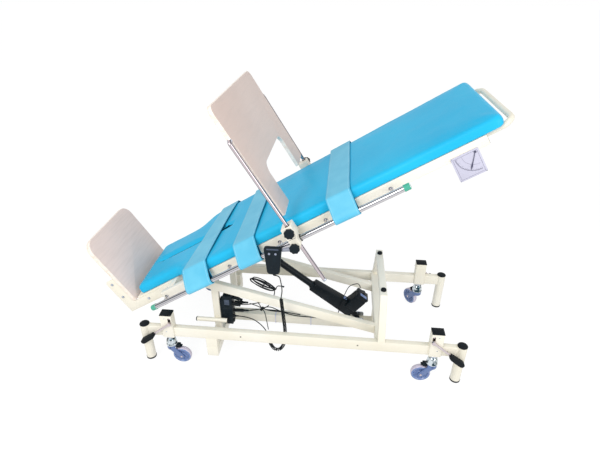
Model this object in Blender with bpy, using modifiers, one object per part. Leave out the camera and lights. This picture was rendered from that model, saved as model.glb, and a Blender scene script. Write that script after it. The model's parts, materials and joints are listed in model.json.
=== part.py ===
# Stand-up bed: a powered tilt table on a wheeled base
# Metres, +Z up, floor at Z 0, +X to the head end, -Y is the near side
import bpy
import bmesh
import numpy as np
from math import pi, sin, cos, radians, atan2, sqrt
from mathutils import Vector

# Overall sizes
BASE_X = 0.1313
FIT = 0.0003
PIVOT_X = -0.500
PIVOT_Z = 0.455
TILT = radians(31.6)

# Base frame
RAIL_Y_IN = 0.280
RAIL_Y_OUT = 0.310
RAIL_Z0 = 0.188
RAIL_Z1 = 0.248
POST_X = 0.814
POST_Y = 0.296
POST_R = 0.025
POST_Z0 = 0.016
POST_Z1 = 0.252
BOX_X0 = POST_X - 0.161
BOX_X1 = POST_X - 0.101
BOX_Y0 = 0.272
BOX_Y1 = 0.320
BOX_Z1 = 0.333
BOX_WALL = 0.003
LEG_Y_IN = 0.250
FOOT_BEAM_X0 = -0.489
FOOT_BEAM_X1 = -0.429
FOOT_BEAM_Z0 = 0.067
FOOT_BEAM_Z1 = 0.127
HEAD_BEAM_X0 = 0.389
HEAD_BEAM_X1 = 0.435
SPINE_HALF = 0.025
SPINE_Z0 = 0.072
STRUT_Y0 = 0.163
STRUT_Y1 = 0.193
STRUT_SLOPE = 0.2618
STRUT_DEEP = 0.0517
STRUT_POST_X0 = -0.469
STRUT_POST_X1 = -0.433
STRUT_EYE_R = 0.021
SHAFT_R = 0.010
PORTAL_X0 = 0.398
PORTAL_X1 = 0.434
PORTAL_TOP_Z = 0.466
PORTAL_TOP_Y = 0.208
PORTAL_BAR = 0.036
BUFFER_R = 0.014
BUFFER_TALL = 0.0115

# Casters and lift pedals
SWIVEL_X = POST_X - 0.131
SWIVEL_Y = 0.296
WHEEL_R = 0.050
WHEEL_W = 0.028
TRAIL = 0.049
HOOD_R = 0.028
HOOD_Z0 = 0.128
HOOD_Z1 = 0.172
PLUNGER_R = 0.019
PEDAL_X = POST_X - 0.150
PEDAL_Z = 0.287
PEDAL_Y = 0.329
PEDAL_DOWN = radians(38.0)
CAM_REACH = 0.0148
CAM_R = 0.007

# Bed frame, in bed coordinates: s along the bed, n square to it
UNDER_Y0 = 0.153
UNDER_Y1 = 0.183
UNDER_N0 = 0.023
FRAME_N0 = 0.065
FRAME_N1 = 0.107
FRAME_Y0 = 0.270
FRAME_Y1 = 0.300
FRAME_S0 = -0.160
FRAME_S1 = 1.485
LEG_TUBE_Y0 = 0.180
LEG_TUBE_Y1 = 0.210
LEG_TUBE_S0 = -0.370
PAD_N1 = 0.157
PAD_S0 = -0.345
PAD_S1 = 1.568
PAD_HALF = 0.305
PAD_LEG_HALF = 0.214
PAD_ROUND = 0.016
SEAM = 0.006
SEAM_END = 0.235
SIDE_RAIL_Y = 0.350
SIDE_RAIL_N = 0.077
SIDE_RAIL_R = 0.0125
SIDE_RAIL_S0 = -0.212
SIDE_RAIL_S1 = 1.159
CAP_R = 0.0145
CAP_LONG = 0.027
STRAP_T = 0.005
BOARD_S = -0.375
BOARD_THICK = 0.020
BOARD_HALF = 0.2235
BOARD_N0 = 0.100
BOARD_N1 = 0.487
BOARD_ROUND = 0.048
CARRIER_HALF = BOARD_HALF - 0.003
CARRIER_N0 = BOARD_N0 + 0.003
CARRIER_N1 = BOARD_N1 - 0.003
GAUGE_THICK = 0.004

# Tray
TRAY_S = 0.643
TRAY_THICK = 0.018
TRAY_HALF = 0.363
TRAY_N0 = 0.200
TRAY_N1 = 0.730
TRAY_CUT_HALF = 0.210
TRAY_CUT_N = 0.395
TRAY_ROD_R = 0.007
TRAY_ROD_Y = max(TRAY_HALF + 0.013, SIDE_RAIL_Y + SIDE_RAIL_R + TRAY_ROD_R + 0.0035)
TRAY_ROD_N0 = -0.151
CLAMP_S0 = 0.611
CLAMP_S1 = 0.667
CLAMP_Y0 = SIDE_RAIL_Y - 0.0175
CLAMP_Y1 = TRAY_ROD_Y + 0.0175
KNOB_R = 0.023

# Actuator, along its own axis from the clevis pin
CLEVIS_X = 0.308
CLEVIS_Z = 0.140
ROD_END_S = 0.270
ROD_END_N = -0.010
HOUSING_END = 0.333
MOTOR_TOP = 0.142
TUBE_END = 0.575
TUBE_R = 0.018
TUBE_BORE_R = 0.012
ROD_R = 0.011

# Handset and cords
HANDSET_S = 0.490
HANDSET_OFF = 0.022
HANDSET_WIDE = 0.078
HANDSET_TALL = 0.140
HANDSET_Y0 = -SIDE_RAIL_Y - 0.0485
HANDSET_Y1 = -SIDE_RAIL_Y - 0.0155
CONTROL_X0 = -0.417
CONTROL_X1 = -0.368
CONTROL_Y0 = -0.188
CONTROL_Y1 = -0.128
CONTROL_Z0 = 0.186
CONTROL_Z1 = 0.376
CORD_R = 0.0026
CURL_R = 0.0070
CURL_WIRE_R = 0.0026
CURLS = 50

for old in list(bpy.data.objects):
    bpy.data.objects.remove(old, do_unlink=True)

scene = bpy.context.scene
parts = bpy.data.collections.new("stand_up_bed")
cutters = bpy.data.collections.new("cutters")
scene.collection.children.link(parts)
scene.collection.children.link(cutters)


def material(name, rgb, metallic=0.0, roughness=0.5):
    mat = bpy.data.materials.new(name)
    mat.use_nodes = True
    shader = mat.node_tree.nodes["Principled BSDF"]
    shader.inputs["Base Color"].default_value = (rgb[0], rgb[1], rgb[2], 1.0)
    shader.inputs["Metallic"].default_value = metallic
    shader.inputs["Roughness"].default_value = roughness
    return mat


PAINT = (0.88, 0.85, 0.72)
BLACK = (0.02, 0.025, 0.03)
CHROME = (0.80, 0.79, 0.80)
BLUE = (0.08, 0.48, 0.78)


def empty(name, place, turn=(0.0, 0.0, 0.0), parent=None):
    thing = bpy.data.objects.new(name, None)
    thing.location = place
    thing.rotation_euler = turn
    thing.parent = parent
    thing.empty_display_size = 0.03
    parts.objects.link(thing)
    return thing


def add(name, mesh, place=(0, 0, 0), turn=(0, 0, 0), parent=None, mat=None):
    thing = bpy.data.objects.new(name, mesh)
    thing.location = place
    thing.rotation_euler = turn
    thing.parent = parent
    if mat:
        mesh.materials.clear()
        mesh.materials.append(mat)
    parts.objects.link(thing)
    return thing


def mesh_from(name, bm):
    bmesh.ops.recalc_face_normals(bm, faces=bm.faces[:])
    mesh = bpy.data.meshes.new(name)
    bm.to_mesh(mesh)
    bm.free()
    return mesh


def box(name, xs, ys, zs, parent, mat=None):
    bm = bmesh.new()
    bmesh.ops.create_cube(bm, size=1.0)
    size = (xs[1] - xs[0], ys[1] - ys[0], zs[1] - zs[0])
    bmesh.ops.scale(bm, vec=size, verts=bm.verts[:])
    middle = ((xs[0] + xs[1]) / 2, (ys[0] + ys[1]) / 2, (zs[0] + zs[1]) / 2)
    return add(name, mesh_from(name, bm), middle, parent=parent, mat=mat)


def mirrored(lo, hi, side):
    return (lo, hi) if side > 0 else (-hi, -lo)


def bar(name, start, end, radius, parent, mat=None, segments=24, radius_end=None):
    start = Vector(start)
    end = Vector(end)
    run = end - start
    bm = bmesh.new()
    bmesh.ops.create_cone(bm, cap_ends=True, segments=segments, radius1=radius,
                          radius2=radius_end or radius, depth=run.length)
    thing = add(name, mesh_from(name, bm), (start + end) / 2, parent=parent, mat=mat)
    thing.rotation_euler = run.to_track_quat("Z", "Y").to_euler()
    return thing


def arc(cx, cy, radius, a0, a1, count):
    angles = np.radians(np.linspace(a0, a1, count))
    return [(cx + radius * cos(a), cy + radius * sin(a)) for a in angles]


def plate(name, outline, thick, place, plane, parent, mat=None, holes=()):
    # Planes: XZ is seen from the side, YZ from the end, XY from above
    curve = bpy.data.curves.new(name, "CURVE")
    curve.dimensions = "2D"
    curve.fill_mode = "BOTH"
    curve.extrude = thick / 2
    for points in [outline] + list(holes):
        spline = curve.splines.new("POLY")
        spline.points.add(len(points) - 1)
        for point, (u, v) in zip(spline.points, points):
            point.co = (u, v, 0.0, 1.0)
        spline.use_cyclic_u = True
    turn = {"XZ": (pi / 2, 0, 0), "YZ": (pi / 2, 0, pi / 2), "XY": (0, 0, 0)}[plane]
    shape = bpy.data.objects.new(name, curve)
    cutters.objects.link(shape)
    mesh = bpy.data.meshes.new_from_object(shape)
    bpy.data.objects.remove(shape, do_unlink=True)
    bm = bmesh.new()
    bm.from_mesh(mesh)
    bmesh.ops.remove_doubles(bm, verts=bm.verts[:], dist=0.00001)
    bmesh.ops.dissolve_limit(bm, angle_limit=0.01, verts=bm.verts[:], edges=bm.edges[:])
    return add(name, mesh_from(name, bm), place, turn, parent, mat)


def tube(name, points, radius, parent, mat=None, resolution=2):
    curve = bpy.data.curves.new(name, "CURVE")
    curve.dimensions = "3D"
    curve.bevel_depth = radius
    curve.bevel_resolution = resolution
    curve.use_fill_caps = True
    spline = curve.splines.new("POLY")
    spline.points.add(len(points) - 1)
    for point, place in zip(spline.points, points):
        point.co = (place[0], place[1], place[2], 1.0)
    thing = bpy.data.objects.new(name, curve)
    thing.parent = parent
    if mat:
        curve.materials.append(mat)
    parts.objects.link(thing)
    return thing


def turned(name, profile, place, turn, parent, mat=None, steps=24):
    # Profile is radius and height pairs from the top down the outside
    mesh = bpy.data.meshes.new(name)
    points = [(r, 0.0, z) for r, z in profile]
    mesh.from_pydata(points, [(i, i + 1) for i in range(len(points) - 1)], [])
    thing = add(name, mesh, place, turn, parent, mat)
    screw = thing.modifiers.new("turn", "SCREW")
    screw.axis = "Z"
    screw.steps = steps
    screw.render_steps = steps
    screw.use_merge_vertices = True
    screw.merge_threshold = 0.0001
    return thing


def combine(thing, others, operation):
    for index, other in enumerate(others):
        mod = thing.modifiers.new(operation.lower() + str(index), "BOOLEAN")
        mod.operation = operation
        mod.solver = "EXACT"
        mod.object = other
        other.hide_render = True
        other.display_type = "WIRE"
        if parts.objects.get(other.name):
            parts.objects.unlink(other)
            cutters.objects.link(other)
    return thing


def join(thing, *others):
    return combine(thing, others, "UNION")


def cut(thing, *others):
    return combine(thing, others, "DIFFERENCE")


def soften(thing, width, segments=1, angle=40):
    mod = thing.modifiers.new("soft_edges", "BEVEL")
    mod.width = width
    mod.segments = segments
    mod.limit_method = "ANGLE"
    mod.angle_limit = radians(angle)
    return thing


def rounded(x0, x1, y0, y1, radius, count=5):
    return (arc(x1 - radius, y1 - radius, radius, 0, 90, count)
            + arc(x0 + radius, y1 - radius, radius, 90, 180, count)
            + arc(x0 + radius, y0 + radius, radius, 180, 270, count)
            + arc(x1 - radius, y0 + radius, radius, 270, 360, count))


def smooth_route(knots, count):
    # Even points along a Catmull-Rom line through hand placed knots
    knots = [np.array(k, dtype=float) for k in knots]
    padded = [2 * knots[0] - knots[1]] + knots + [2 * knots[-1] - knots[-2]]
    fine = []
    for i in range(1, len(padded) - 2):
        a, b, c, d = padded[i - 1:i + 3]
        for t in np.linspace(0, 1, 24, endpoint=False):
            fine.append(0.5 * (2 * b + (c - a) * t + (2 * a - 5 * b + 4 * c - d) * t ** 2
                               + (3 * b - a - 3 * c + d) * t ** 3))
    fine.append(knots[-1])
    fine = np.array(fine)
    gaps = np.linalg.norm(np.diff(fine, axis=0), axis=1)
    along = np.concatenate([[0], np.cumsum(gaps)])
    want = np.linspace(0, along[-1], count)
    route = np.stack([np.interp(want, along, fine[:, k]) for k in range(3)], axis=1)
    return [tuple(p) for p in route], along[-1]


base = empty("base_origin", (BASE_X, 0, 0))
bed = empty("tilt_axis", (PIVOT_X, 0, PIVOT_Z), (0, -TILT, 0), base)
SIDES = {"near": -1, "far": 1}
ENDS = {"foot": -1, "head": 1}
paint = material("paint", PAINT, 0.0, 0.35)
black = material("black_plastic", BLACK, 0.0, 0.45)
chrome = material("chrome_tube", CHROME, 1.0, 0.15)
vinyl = material("blue_vinyl", BLUE, 0.0, 0.4)
board_mat = material("board", (0.72, 0.58, 0.52), 0.0, 0.5)

# Side frames: rail, end posts and the hollow lift boxes
for where, side in SIDES.items():
    ys = mirrored(RAIL_Y_IN, RAIL_Y_OUT, side)
    box_ys = mirrored(BOX_Y0, BOX_Y1, side)
    rail = box("side_frame_" + where, (-BOX_X0 - 0.01, BOX_X0 + 0.01), ys, (RAIL_Z0, RAIL_Z1),
               base, paint)
    extra = []
    hollow = []
    for end_name, end in ENDS.items():
        tag = where + "_" + end_name
        extra.append(box("lift_box_" + tag, mirrored(BOX_X0, BOX_X1, end), box_ys,
                         (RAIL_Z0 - 0.002, BOX_Z1), base))
        extra.append(box("rail_end_" + tag, mirrored(BOX_X1 - 0.01, POST_X - 0.005, end), ys,
                         (RAIL_Z0, RAIL_Z1), base))
        extra.append(bar("post_" + tag, (end * POST_X, side * POST_Y, POST_Z0),
                         (end * POST_X, side * POST_Y, POST_Z1), POST_R, base))
        hollow.append(box("lift_hollow_" + tag,
                          mirrored(BOX_X0 + BOX_WALL, BOX_X1 - BOX_WALL, end),
                          mirrored(BOX_Y0 + BOX_WALL, BOX_Y1 - BOX_WALL, side),
                          (RAIL_Z0 - 0.05, BOX_Z1 - BOX_WALL), base))
        hollow.append(bar("pedal_hole_" + tag, (end * PEDAL_X, side * (BOX_Y1 - 0.012), PEDAL_Z),
                          (end * PEDAL_X, side * (BOX_Y1 + 0.01), PEDAL_Z), 0.0066, base,
                          segments=20))
    join(rail, *extra)
    cut(rail, *hollow)

# Cross beams and spine
foot_beam = box("foot_cross_beam", (FOOT_BEAM_X0, FOOT_BEAM_X1), (-RAIL_Y_OUT, RAIL_Y_OUT),
                (FOOT_BEAM_Z0, FOOT_BEAM_Z1), base, paint)
join(foot_beam, *[box("drop_leg_" + w, (FOOT_BEAM_X0 + 0.0002, FOOT_BEAM_X1 - 0.0002),
                      mirrored(LEG_Y_IN, RAIL_Y_OUT - 0.0002, k),
                      (FOOT_BEAM_Z0 + 0.01, RAIL_Z0 - FIT), base) for w, k in SIDES.items()])
box("head_cross_beam", (HEAD_BEAM_X0, HEAD_BEAM_X1), (-RAIL_Y_IN + FIT, RAIL_Y_IN - FIT),
    (RAIL_Z0, RAIL_Z1), base, paint)
spine = box("spine_beam", (FOOT_BEAM_X1 + FIT, HEAD_BEAM_X1), (-SPINE_HALF, SPINE_HALF),
            (SPINE_Z0, FOOT_BEAM_Z1 - 0.0005), base, paint)
join(spine, box("spine_hanger", (HEAD_BEAM_X0, HEAD_BEAM_X1 - 0.0003),
                (-SPINE_HALF + 0.0002, SPINE_HALF - 0.0002),
                (SPINE_Z0 + 0.01, RAIL_Z0 - FIT), base))

# Sloping supports with the pivot eyes
strut_top = {x: RAIL_Z1 + STRUT_SLOPE * (HEAD_BEAM_X0 - x)
             for x in (HEAD_BEAM_X0, STRUT_POST_X0, STRUT_POST_X1, -0.42)}
support_outline = ([(HEAD_BEAM_X0 - FIT, RAIL_Z1 - STRUT_DEEP), (HEAD_BEAM_X0 - FIT, RAIL_Z1),
                    (-0.42, strut_top[-0.42])]
                   + arc(PIVOT_X, PIVOT_Z, STRUT_EYE_R, 78, 258, 11)
                   + [(STRUT_POST_X0, strut_top[STRUT_POST_X0] - STRUT_DEEP),
                      (STRUT_POST_X0, FOOT_BEAM_Z1 + FIT), (STRUT_POST_X1, FOOT_BEAM_Z1 + FIT),
                      (STRUT_POST_X1, strut_top[STRUT_POST_X1] - STRUT_DEEP)])
for where, side in SIDES.items():
    plate("support_" + where, support_outline, STRUT_Y1 - STRUT_Y0,
          (0, side * (STRUT_Y0 + STRUT_Y1) / 2, 0), "XZ", base, paint,
          holes=[arc(PIVOT_X, PIVOT_Z, SHAFT_R + FIT, 360, 15, 24)])
turned("pivot_shaft", [(0, 0.201), (0.015, 0.201), (0.015, 0.1935), (SHAFT_R, 0.1935),
                       (SHAFT_R, -0.1935), (0.015, -0.1935), (0.015, -0.201), (0, -0.201)],
       (PIVOT_X, 0, PIVOT_Z), (pi / 2, 0, 0), base, chrome, 20)

# Portal that the bed rests on when it is flat
lean = (RAIL_Y_OUT - PORTAL_TOP_Y) / (PORTAL_TOP_Z - RAIL_Z1)
bar_under = PORTAL_TOP_Z - PORTAL_BAR
inner_foot = RAIL_Y_OUT - 0.033
inner_top = inner_foot - lean * (bar_under - RAIL_Z1)
portal_z0 = RAIL_Z1 + FIT
portal_outline = [(-RAIL_Y_OUT, portal_z0), (-inner_foot, portal_z0), (-inner_top, bar_under),
                  (inner_top, bar_under), (inner_foot, portal_z0), (RAIL_Y_OUT, portal_z0),
                  (PORTAL_TOP_Y, PORTAL_TOP_Z), (-PORTAL_TOP_Y, PORTAL_TOP_Z)]
plate("rest_portal", portal_outline, PORTAL_X1 - PORTAL_X0, ((PORTAL_X0 + PORTAL_X1) / 2, 0, 0),
      "YZ", base, paint)
under_mid = (UNDER_Y0 + UNDER_Y1) / 2
for where, side in SIDES.items():
    turned("buffer_" + where, [(0, BUFFER_TALL), (BUFFER_R - 0.002, BUFFER_TALL),
                               (BUFFER_R, BUFFER_TALL - 0.002), (BUFFER_R, 0), (0, 0)],
           ((PORTAL_X0 + PORTAL_X1) / 2, side * under_mid, PORTAL_TOP_Z + FIT), (0, 0, 0), base,
           black, 16)
bar("cable_bar", (-0.562, -STRUT_Y1 - 0.0123, 0.228), (-0.392, -STRUT_Y1 - 0.0123, 0.228), 0.012,
    base, paint)

# Actuator clevis: two cheeks on the spine and the pin between them
cheek = rounded(CLEVIS_X - 0.022, CLEVIS_X + 0.036, 0.094, 0.150, 0.010, 4)
clevis = plate("actuator_bracket", cheek, 0.005, (0, -SPINE_HALF - FIT - 0.0025, 0), "XZ", base,
               material("zinc", (0.62, 0.63, 0.64), 0.9, 0.35))
join(clevis, plate("bracket_cheek_far", cheek, 0.005, (0, SPINE_HALF + FIT + 0.0025, 0), "XZ", base),
     bar("bracket_pin", (CLEVIS_X, -SPINE_HALF - 0.008, CLEVIS_Z),
         (CLEVIS_X, SPINE_HALF + 0.008, CLEVIS_Z), 0.005, base, segments=20))

# Control box under the near strut, on an ear against its inner face
control = box("control_box", (CONTROL_X0, CONTROL_X1), (CONTROL_Y0, CONTROL_Y1),
              (CONTROL_Z0, CONTROL_Z1), base, black)
soften(control, 0.003)
join(control, box("control_ear", (CONTROL_X0 + 0.007, CONTROL_X1 - 0.012),
                  (-STRUT_Y0 + FIT, -STRUT_Y0 + 0.006), (CONTROL_Z1 - 0.016, CONTROL_Z1 + 0.064), base),
     box("control_flange", (STRUT_POST_X1 + FIT, CONTROL_X0 + 0.007),
         (CONTROL_Y0 + 0.002, CONTROL_Y1 - 0.022), (CONTROL_Z0 + 0.034, CONTROL_Z1 - 0.026), base))

# Four corners: plunger, fork, wheel and pedal
wheel_profile = [(0.0054, 0.0135), (0.017, 0.0135), (0.020, 0.010), (0.036, 0.010),
                 (0.041, WHEEL_W / 2), (0.048, 0.0110), (WHEEL_R, 0.005), (WHEEL_R, -0.005),
                 (0.048, -0.0110), (0.041, -WHEEL_W / 2), (0.036, -0.010), (0.020, -0.010),
                 (0.017, -0.0135), (0.0054, -0.0135), (0.0054, 0.0135)]
TRAILS = {"near_head": 180, "near_foot": 0, "far_head": 125, "far_foot": 40}
tyre = material("wheel_tyre", (0.30, 0.33, 0.55), 0.0, 0.35)
for where, side in SIDES.items():
    for end_name, end in ENDS.items():
        tag = where + "_" + end_name
        corner = empty("swivel_" + tag, (end * SWIVEL_X, side * SWIVEL_Y, 0),
                       (0, 0, radians(TRAILS[tag])), base)
        plunger = turned("plunger_" + tag,
                         [(0, PEDAL_Z - 0.0166), (0.009, PEDAL_Z - 0.0166),
                          (0.009, PEDAL_Z - 0.036), (PLUNGER_R, PEDAL_Z - 0.036),
                          (PLUNGER_R, HOOD_Z1 + FIT), (0.0068, HOOD_Z1 + FIT),
                          (0.0068, HOOD_Z1 + 0.032), (0, HOOD_Z1 + 0.032)],
                         (end * SWIVEL_X, side * SWIVEL_Y, 0), (0, 0, 0), base, chrome, 16)
        fork = turned("caster_fork_" + tag,
                      [(0, HOOD_Z1 + 0.030), (0.006, HOOD_Z1 + 0.030), (0.006, HOOD_Z1),
                       (0.012, HOOD_Z1), (0.020, HOOD_Z1 - 0.007), (0.0255, HOOD_Z1 - 0.019),
                       (HOOD_R, HOOD_Z0 + 0.010), (HOOD_R, HOOD_Z0), (0, HOOD_Z0)],
                      (0, 0, 0), (0, 0, 0), corner, chrome, 20)
        cheek = ([(-0.019, HOOD_Z0 + 0.004), (-0.019, 0.106)]
                 + arc(TRAIL, WHEEL_R, 0.014, 225, 400, 7)
                 + [(0.022, 0.106), (0.019, HOOD_Z0 + 0.004)])
        skirt = bar("skirt_" + tag, (0, 0, 0.100), (0, 0, HOOD_Z0 + 0.002), HOOD_R - 0.0005, corner,
                    segments=20)
        room = box("wheel_room_" + tag, (-0.0045, 0.06), (-0.06, 0.06), (0.03, HOOD_Z0 - 0.0005),
                   corner)
        cut(skirt, room)
        join(fork, skirt)
        gap = WHEEL_W / 2 + 0.0015
        join(fork, *[plate("cheek_" + tag + n, cheek, 0.004, (0, k * (gap + 0.002), 0), "XZ", corner)
                     for n, k in (("_a", -1), ("_b", 1))])
        join(fork, bar("axle_" + tag, (TRAIL, -gap - 0.008, WHEEL_R), (TRAIL, gap + 0.008, WHEEL_R),
                       0.005, corner, segments=12))
        turned("wheel_" + tag, wheel_profile, (TRAIL, 0, WHEEL_R), (pi / 2, 0, 0), corner, tyre, 20)
        # The pedal lies along its arm: local X runs outward and down
        arm_axis = empty("pedal_axis_" + tag, (end * PEDAL_X, 0, PEDAL_Z),
                         (0, PEDAL_DOWN, 0 if end > 0 else pi), base)
        local_side = side * end
        pedal_y = local_side * PEDAL_Y
        pedal = bar("pedal_" + tag, (0, local_side * 0.2965, 0), (0, local_side * 0.3345, 0), 0.006,
                    arm_axis, chrome, 16)
        cam_y = mirrored(0.300, 0.312, local_side)
        join(pedal, box("cam_arm_" + tag, (0, CAM_REACH), (cam_y[0] + 0.001, cam_y[1] - 0.001),
                        (-0.005, 0.005), arm_axis),
             bar("cam_" + tag, (CAM_REACH, cam_y[0], 0), (CAM_REACH, cam_y[1], 0), CAM_R, arm_axis,
                 segments=16),
             bar("pedal_arm_" + tag, (-0.004, pedal_y, 0), (0.125, pedal_y, 0), 0.0055, arm_axis,
                 segments=12),
             bar("pedal_pad_" + tag, (0.112, local_side * 0.3365, 0), (0.202, local_side * 0.3365, 0),
                 0.0135, arm_axis, segments=16))

# Bed frame: ladder, under beams, pivot lugs and the actuator lugs
frame = box("bed_frame", (FRAME_S0, FRAME_S1), (FRAME_Y0, FRAME_Y1), (FRAME_N0, FRAME_N1), bed,
            paint)
pieces = [box("frame_tube_near", (FRAME_S0, FRAME_S1), (-FRAME_Y1, -FRAME_Y0),
              (FRAME_N0, FRAME_N1), bed)]
for index, (s0, s1) in enumerate(((-0.125, -0.085), (0.020, 0.050), (0.400, 0.430),
                                  (0.800, 0.830), (1.160, 1.190), (1.445, FRAME_S1))):
    pieces.append(box("cross_tube_" + str(index), (s0, s1), (-FRAME_Y0 - 0.01, FRAME_Y0 + 0.01),
                      (FRAME_N0, FRAME_N1), bed))
pieces.append(box("frame_foot_tube", (LEG_TUBE_S0, LEG_TUBE_S0 + 0.03), (-LEG_TUBE_Y1, LEG_TUBE_Y1),
                  (FRAME_N0, FRAME_N1), bed))
pieces.append(box("lug_tube", (0.195, 0.235), (-UNDER_Y0 - 0.005, UNDER_Y0 + 0.005),
                  (UNDER_N0, FRAME_N0), bed))
for where, side in SIDES.items():
    pieces.append(box("leg_tube_" + where, (LEG_TUBE_S0, -0.105),
                      mirrored(LEG_TUBE_Y0, LEG_TUBE_Y1, side), (FRAME_N0, FRAME_N1), bed))
    pieces.append(box("under_beam_" + where, (-0.050, 1.200), mirrored(UNDER_Y0, UNDER_Y1, side),
                      (UNDER_N0, FRAME_N0 + 0.001), bed))
    lug = [(-0.030, 0.050)] + arc(0, 0, 0.021, 200, 340, 8) + [(0.030, 0.050)]
    pieces.append(plate("pivot_lug_" + where, lug, 0.008,
                        (0, side * (STRUT_Y0 - 0.0105), 0), "XZ", bed))
    ear = ([(0.205, 0.045), (0.205, 0.026), (0.250, -0.024)]
           + arc(ROD_END_S, ROD_END_N, 0.020, 225, 380, 7) + [(0.286, 0.045)])
    pieces.append(plate("rod_lug_" + where, ear, 0.006, (0, side * 0.0170, 0), "XZ", bed))
join(frame, *pieces)
cut(frame, bar("lug_bore", (0, -0.16, 0), (0, 0.16, 0), SHAFT_R + FIT, bed, segments=24),
    bar("rod_lug_bore", (ROD_END_S, -0.03, ROD_END_N), (ROD_END_S, 0.03, ROD_END_N), 0.006, bed,
        segments=16))

# Pad with the seam between the two leg halves
upper_half = ([(PAD_S0, PAD_LEG_HALF - 0.028)]
              + arc(PAD_S0 + 0.024, PAD_LEG_HALF - 0.024, 0.024, 170, 90, 4)
              + [(-0.075, PAD_LEG_HALF), (-0.045, 0.224), (-0.010, 0.258), (0.020, 0.290),
                 (0.055, PAD_HALF)]
              + arc(PAD_S1 - 0.035, PAD_HALF - 0.035, 0.035, 90, 0, 5))
pad_outline = upper_half + [(s, -y) for s, y in reversed(upper_half)]
pad = plate("pad", pad_outline, PAD_N1 - FRAME_N1 - FIT, (0, 0, (PAD_N1 + FRAME_N1 + FIT) / 2), "XY",
            bed, vinyl)
soften(pad, PAD_ROUND, 3, 50)
groove_half = [(0.020, PAD_N1 + 0.01), (0.020, PAD_N1 - 0.0005), (0.0085, PAD_N1 - 0.008),
               (SEAM / 2, PAD_N1 - 0.022), (SEAM / 2, FRAME_N1 - 0.01)]
groove = groove_half + [(-y, n) for y, n in reversed(groove_half)]
cut(pad, plate("leg_seam", groove, SEAM_END - PAD_S0 + 0.01, ((SEAM_END + PAD_S0 - 0.01) / 2, 0, 0),
               "YZ", bed))

# Push handle
handle_n = 0.092
handle_y = 0.255
bend = 0.055
handle_s = 1.5985
near_bend = [(handle_s - bend + bend * sin(a), -(handle_y - bend) - bend * cos(a))
             for a in np.radians(np.linspace(0, 90, 7))]
far_bend = [(s, -y) for s, y in reversed(near_bend)]
handle_path = ([(FRAME_S1 + FIT, -handle_y)] + near_bend + far_bend + [(FRAME_S1 + FIT, handle_y)])
tube("push_handle", [(s, y, handle_n) for s, y in handle_path], 0.0125, bed, paint, 3)

# Chrome side rails with end caps and stand-off pegs
PEGS = (-0.140, 0.255, 0.538, 0.775, 1.080)
for where, side in SIDES.items():
    y = side * SIDE_RAIL_Y
    rail = bar("side_rail_" + where, (SIDE_RAIL_S0 + 0.02, y, SIDE_RAIL_N),
               (SIDE_RAIL_S1 - 0.02, y, SIDE_RAIL_N), SIDE_RAIL_R, bed, chrome)
    join(rail, bar("cap_foot_" + where, (SIDE_RAIL_S0, y, SIDE_RAIL_N),
                   (SIDE_RAIL_S0 + CAP_LONG, y, SIDE_RAIL_N), CAP_R, bed),
         bar("cap_head_" + where, (SIDE_RAIL_S1 - CAP_LONG, y, SIDE_RAIL_N),
             (SIDE_RAIL_S1, y, SIDE_RAIL_N), CAP_R, bed),
         *[bar("peg_" + where + str(i), (s, side * (FRAME_Y1 + FIT), SIDE_RAIL_N),
               (s, side * (SIDE_RAIL_Y - 0.004), SIDE_RAIL_N), 0.006, bed, segments=10)
           for i, s in enumerate(PEGS)])

# Footboard and its carrier
def board_outline(half, n_low, n_high, radius, foot):
    right = arc(half - foot, n_low + foot, foot, 270, 360, 3) + arc(half - radius, n_high - radius,
                                                                    radius, 0, 90, 7)
    return right + [(-y, n) for y, n in reversed(right)]


board = plate("footboard", board_outline(BOARD_HALF, BOARD_N0, BOARD_N1, BOARD_ROUND, 0.006),
              BOARD_THICK, (BOARD_S - BOARD_THICK / 2, 0, 0), "YZ", bed, board_mat)
soften(board, 0.003)
back_s = BOARD_S - BOARD_THICK - FIT
carrier = plate("footboard_carrier",
                board_outline(CARRIER_HALF, CARRIER_N0, CARRIER_N1, BOARD_ROUND - 0.003, 0.006), 0.006,
                (back_s - 0.003, 0, 0), "YZ", bed, paint)
bracket = ([(-0.460, 0.047), (-0.460, 0.250), (-0.450, 0.262), (back_s - 0.002, 0.262),
            (back_s - 0.002, 0.097)]
           + arc(-0.162, 0.072, 0.025, 90, -90, 7))
join(carrier, *[plate("carrier_arm_" + w, bracket, 0.006, (0, k * (LEG_TUBE_Y1 + FIT + 0.003), 0),
                      "XZ", bed) for w, k in SIDES.items()])

# Angle gauge: plate on the near frame tube and a pointer that hangs plumb
gauge = plate("gauge_plate", rounded(1.331, 1.440, -0.029, 0.080, 0.004, 3), GAUGE_THICK,
              (0, -FRAME_Y1 - FIT - GAUGE_THICK / 2, 0), "XZ", bed,
              material("gauge", (0.67, 0.66, 0.79)))
pointer_y = -FRAME_Y1 - FIT - GAUGE_THICK - 0.002
pointer_axis = empty("pointer_axis", (1.424, pointer_y, 0.068), (0, TILT, 0), bed)
needle = ([(-0.0012, -0.040), (-0.0032, -0.062), (0, -0.074), (0.0032, -0.062), (0.0012, -0.040)]
          + arc(0, 0, 0.005, -70, 250, 10))
pointer = plate("gauge_pointer", needle, 0.002, (0, 0, 0), "XZ", pointer_axis, black)
join(pointer, bar("pointer_hub", (0, -0.0016, 0), (0, 0.002 - FIT, 0), 0.004, pointer_axis,
                  segments=12))

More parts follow.
